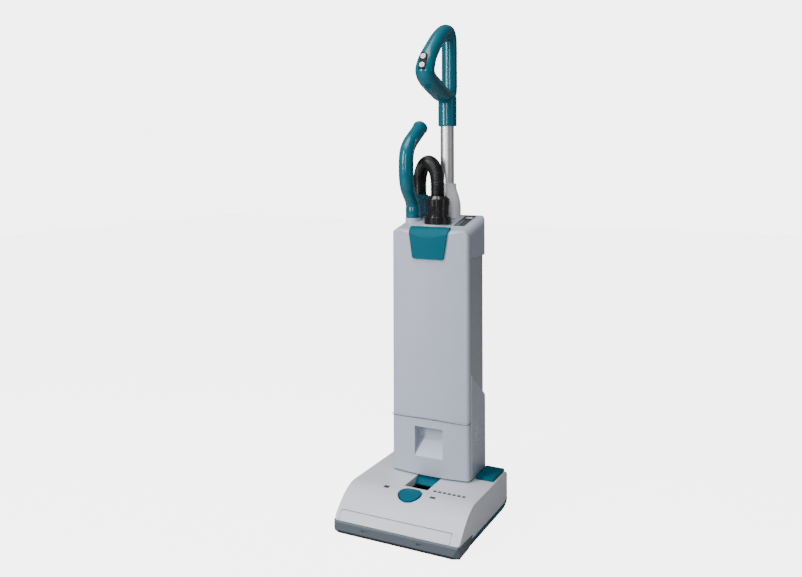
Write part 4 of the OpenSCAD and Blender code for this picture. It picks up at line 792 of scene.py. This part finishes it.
def thinBar(middle, size, tilt=0.0):  # flat mark with soft edges, turned about X
    clearSelection()
    bpy.ops.mesh.primitive_cube_add(size=1, location=middle, rotation=(tilt, 0, 0), scale=size)
    bar = bpy.context.active_object
    bpy.ops.object.transform_apply(location=True, rotation=True, scale=True)
    useModifier(bar, "BEVEL", width=min(size) * 0.35, segments=2)
    return bar


# plain marks on the display, on the buttons and on the deck
displayMarks = {
    "origin": (0.058, 0.072, 0.68607), "tilt": 11.8, "top": 0.0002, "height": 0.0003,
    "screen": ((0.0015, 0.0735), (0.017, 0.0125)),
    "bars": [((-0.0055, 0.012), 0.010), ((-0.006, 0.020), 0.008), ((-0.0045, 0.028), 0.012),
             ((-0.006, 0.036), 0.008), ((-0.005, 0.044), 0.011), ((-0.006, 0.052), 0.008),
             ((0.0075, 0.016), 0.006), ((0.0075, 0.032), 0.006), ((0.0075, 0.048), 0.006)],
    "barDepth": 0.0022,
}


def markDisplay():
    spec = displayMarks
    tilt = math.radians(spec["tilt"])
    ox, oy, oz = spec["origin"]

    def onPanel(x, y):
        z = spec["top"] + spec["height"] / 2
        return (ox + x, oy + y * math.cos(tilt) - z * math.sin(tilt), oz + y * math.sin(tilt) + z * math.cos(tilt))

    bars = [thinBar(onPanel(x, y), (wide, spec["barDepth"], spec["height"]), tilt) for (x, y), wide in spec["bars"]]
    marks = joinPieces("displayBars", bars)
    turnOut(marks)
    finishPiece(marks, "paleInk", "upright")
    (x, y), (wide, deep) = spec["screen"]
    screen = thinBar(onPanel(x, y), (wide, deep, spec["height"]), tilt)
    screen.name = "displayScreen"
    finishPiece(screen, "screenWhite", "upright")


buttonMarks = {"buttons": {"power_switch": 0.011, "mode_switch": -0.011}, "top": 0.0025, "height": 0.00025,
               "sunk": 0.0001, "ring": (0.0030, 0.0023), "bar": (0.0008, 0.0034)}


def markButtons():
    spec = buttonMarks
    tilt = math.radians(loopGrip["padTilt"])
    for body, y in spec["buttons"].items():
        low, high = spec["top"] - spec["sunk"], spec["top"] + spec["height"]
        out, inner = spec["ring"]
        rings = [(padPoint(0, y, low), tilt, out, out), (padPoint(0, y, high), tilt, out, out),
                 (padPoint(0, y, high), tilt, inner, inner), (padPoint(0, y, low), tilt, inner, inner)]
        parts = [ringBody("mark", rings, 24, closed=True)]
        wide, tall = spec["bar"]
        parts.append(thinBar(padPoint(0, y, high - spec["sunk"]), (wide, tall, spec["height"]), tilt))
        marks = joinPieces(body + "Mark", parts)
        finishPiece(marks, "markInk", body)


deckMarks = {
    "slots": [((-0.063, -0.081), (0.013, 0.011)), ((0.054, -0.0886), (0.013, 0.008))],
    "dashes": [(0.046 + 0.0115 * i, -0.054) for i in range(7)], "dash": (0.0078, 0.0095), "height": 0.0003,
    "proud": 0.0001, "reach": 0.002,
}


def markDeck():
    spec = deckMarks
    reach = spec["reach"]
    bars = []
    for (x, y), (wide, deep) in spec["slots"] + [(place, spec["dash"]) for place in spec["dashes"]]:
        ahead, z, behind = [topOf("head_cover", x, y + step) for step in (-reach, 0, reach)]
        bars.append(thinBar((x, y, z + spec["proud"]), (wide, deep, spec["height"]),
                            math.atan2(behind - ahead, 2 * reach)))
    marks = joinPieces("deckMarks", bars)
    turnOut(marks)
    finishPiece(marks, "deckInk", "head")


# thin strips over the joints of the housings; the pale side strips are a painted highlight along the lit crease
# between the door and the rear housing
doorSeam = {"low": (-0.09862, 0.01888, 0.2243), "high": (0.09862, 0.0432, 0.2257), "round": 0.010,
            "wall": 0.0006, "spare": 0.05, "segments": 8}
sideHighlightStrips = {"x": 0.0985, "y": 0.0466, "from": 0.097, "to": 0.336, "wide": 0.006, "proud": 0.0003}
frontSeam = {"left": -0.1394, "right": 0.1274, "z": 0.0467, "wide": 0.0011, "thick": 0.0003,
             "hooks": (0.044, 0.031), "hook": 0.0045}


def frontOf(node, x, z):  # the point of a node's front face, and how that face leans back
    _, place, normal, _ = nodes[node].ray_cast(Vector((x, -0.5, z)), Vector((0, 1, 0)))
    return place, math.atan2(normal.z, -normal.y)


def drawDoorSeam():  # a rounded band cut from a tall block
    spec = doorSeam
    low, high, wall, spare = Vector(spec["low"]), Vector(spec["high"]), spec["wall"], spec["spare"]
    band = cutBlock(low - Vector((0, 0, spare)), high + Vector((0, spare, spare)), spec["round"], spec["segments"])
    inner = cutBlock(low + Vector((wall, wall, -2 * spare)), high + Vector((-wall, 2 * spare, 2 * spare)),
                     spec["round"] - wall, spec["segments"])
    wide = Vector((spare, spare, spare))
    below = cutBlock(low - wide - wide, (high.x + spare, high.y + 2 * spare, low.z))
    above = cutBlock((low.x - spare, low.y - spare, high.z), high + wide + wide)
    back = cutBlock((low.x - spare, high.y, low.z - spare), high + wide + wide)
    band.name = "doorSeam"
    cutAway(band, [inner, below, above, back])
    turnOut(band)
    finishPiece(band, "seamGrey", "upright")


# pale strips down each side: a painted highlight where the crease catches the light
def drawSideHighlights():
    spec = sideHighlightStrips
    strips = []
    for side in (-1, 1):
        middle = (side * spec["x"], spec["y"], (spec["from"] + spec["to"]) / 2)
        strips.append(thinBar(middle, (2 * spec["proud"], spec["wide"], spec["to"] - spec["from"])))
    strip = joinPieces("sideHighlightStrips", strips)
    turnOut(strip)
    finishPiece(strip, "highlightStripAndVentPale", "upright")


def drawFrontSeam():  # a line along the head's front, with a hook at each end
    spec = frontSeam
    bars = []
    place, lean = frontOf("head_cover", 0, spec["z"])
    bars.append(thinBar(((spec["left"] + spec["right"]) / 2, place.y, place.z),
                        (spec["right"] - spec["left"], spec["thick"], spec["wide"]), -lean))
    for x in (spec["left"], spec["right"]):
        for z in spec["hooks"]:
            place, lean = frontOf("head_cover", x, z)
            bars.append(thinBar((x, place.y, place.z), (spec["wide"], spec["thick"], spec["hook"]), -lean))
    seam = joinPieces("frontSeam", bars)
    turnOut(seam)
    finishPiece(seam, "seamGrey", "head")


# sloping strip that closes the step between the lower and the rear housing
rearLedge = {"middle": (0, 0.1705, 0.2514), "size": (0.182, 0.0222, 0.002), "slope": -33.4, "taper": 0.75}


def closeLedge():
    spec = rearLedge
    ledge = thinBar(spec["middle"], spec["size"], math.radians(spec["slope"]))
    ledge.name = "rearLedge"
    for corner in ledge.data.vertices:  # its rear edge is shorter, inside the housing's round corners
        if corner.co.y > spec["middle"][1]:
            corner.co.x *= spec["taper"]
    finishPiece(ledge, "bodyPlastic", "upright")


# rings round the vent holes, in a diamond on each side
vents = {"x": 0.0985, "middle": (0.085, 0.193), "step": (0.0056, 0.007), "reach": 4, "ring": 0.0021, "bead": 0.0004,
         "around": 16, "across": 6}


def ringVents():
    spec = vents
    (y, z), (dy, dz), reach = spec["middle"], spec["step"], spec["reach"]
    rings = []
    for side in (-1, 1):
        for i in range(-reach, reach + 1):
            for j in range(-reach, reach + 1):
                if abs(i) + abs(j) > reach:
                    continue
                clearSelection()
                bpy.ops.mesh.primitive_torus_add(
                    major_segments=spec["around"], minor_segments=spec["across"],
                    major_radius=spec["ring"], minor_radius=spec["bead"],
                    location=(side * spec["x"], y + i * dy, z + j * dz), rotation=(0, math.pi / 2, 0))
                rings.append(bpy.context.active_object)
    beads = joinPieces("ventRings", rings)
    turnOut(beads)
    finishPiece(beads, "highlightStripAndVentPale", "upright")


# painted shade: dark inner skins laid in the dial's pocket and in the window recess, standing in for the shadow in
# these hollows
dialPocket = {"middle": (0.0, -0.091), "outer": 0.0278, "inner": 0.012, "floor": 0.0661, "rim": 0.0730,
              "wall": 0.0005, "thick": 0.0002}
windowWell = {"low": (-0.0288, -0.0568, 0.0402), "high": (0.0288, 0.0258, 0.0690), "wall": 0.0004}


def paintRecessShade():
    spec = dialPocket
    inner, out, floor, under = spec["inner"], spec["outer"], spec["floor"], spec["floor"] - spec["thick"]
    side = out - spec["wall"]
    # dark skin on the dial pocket's floor and wall: painted shade
    skin = turnedBody("dialPocketShade", spec["middle"], [
        (inner, floor), (side, floor), (side, spec["rim"]), (out, spec["rim"]), (out, under), (inner, under)],
        sides=64, closed=True)
    finishPiece(skin, "padBlackAndRecessShade", "head")
    low, high, wall = windowWell["low"], windowWell["high"], windowWell["wall"]
    # dark skin on the window recess's floor and walls: painted shade
    well = cutBlock(low, high)
    well.name = "windowWellShade"
    cutAway(well, [cutBlock([a + wall for a in low], [high[0] - wall, high[1] - wall, high[2] + wall])])
    turnOut(well)
    finishPiece(well, "padBlackAndRecessShade", "head")


markDisplay()
markButtons()
markDeck()
drawDoorSeam()
drawSideHighlights()
drawFrontSeam()
closeLedge()
ringVents()
paintRecessShade()
print("marks and recess skins are placed")


paper = {"size": 14, "middle": (0, 2, 0), "color": (0.5, 0.5, 0.5), "other": (0.47, 0.47, 0.47), "drift": 0.5,
         "driftSize": 1.2, "rough": 0.7}


def layFloor():
    clearSelection()
    bpy.ops.mesh.primitive_plane_add(size=paper["size"], location=paper["middle"])
    floor = bpy.context.active_object
    floor.name = "floor"
    material, tree, shader, place = startMaterial("floorPaper")
    drift = placeGroup(tree, "drift", place, {
        "Color": (*paper["color"], 1), "Other": (*paper["other"], 1), "Amount": paper["drift"],
        "Size": paper["driftSize"]})
    tree.links.new(drift.outputs["Color"], shader.inputs["Base Color"])
    shader.inputs["Roughness"].default_value = paper["rough"]
    path = tree.nodes.new("ShaderNodeLightPath")
    glow = addMath(tree, "MULTIPLY", path.outputs["Is Camera Ray"], studio["floorGlow"])
    tree.links.new(glow, shader.inputs["Emission Strength"])
    shader.inputs["Emission Color"].default_value = (1, 1, 1, 1)
    floor.data.materials.append(material)


layFloor()
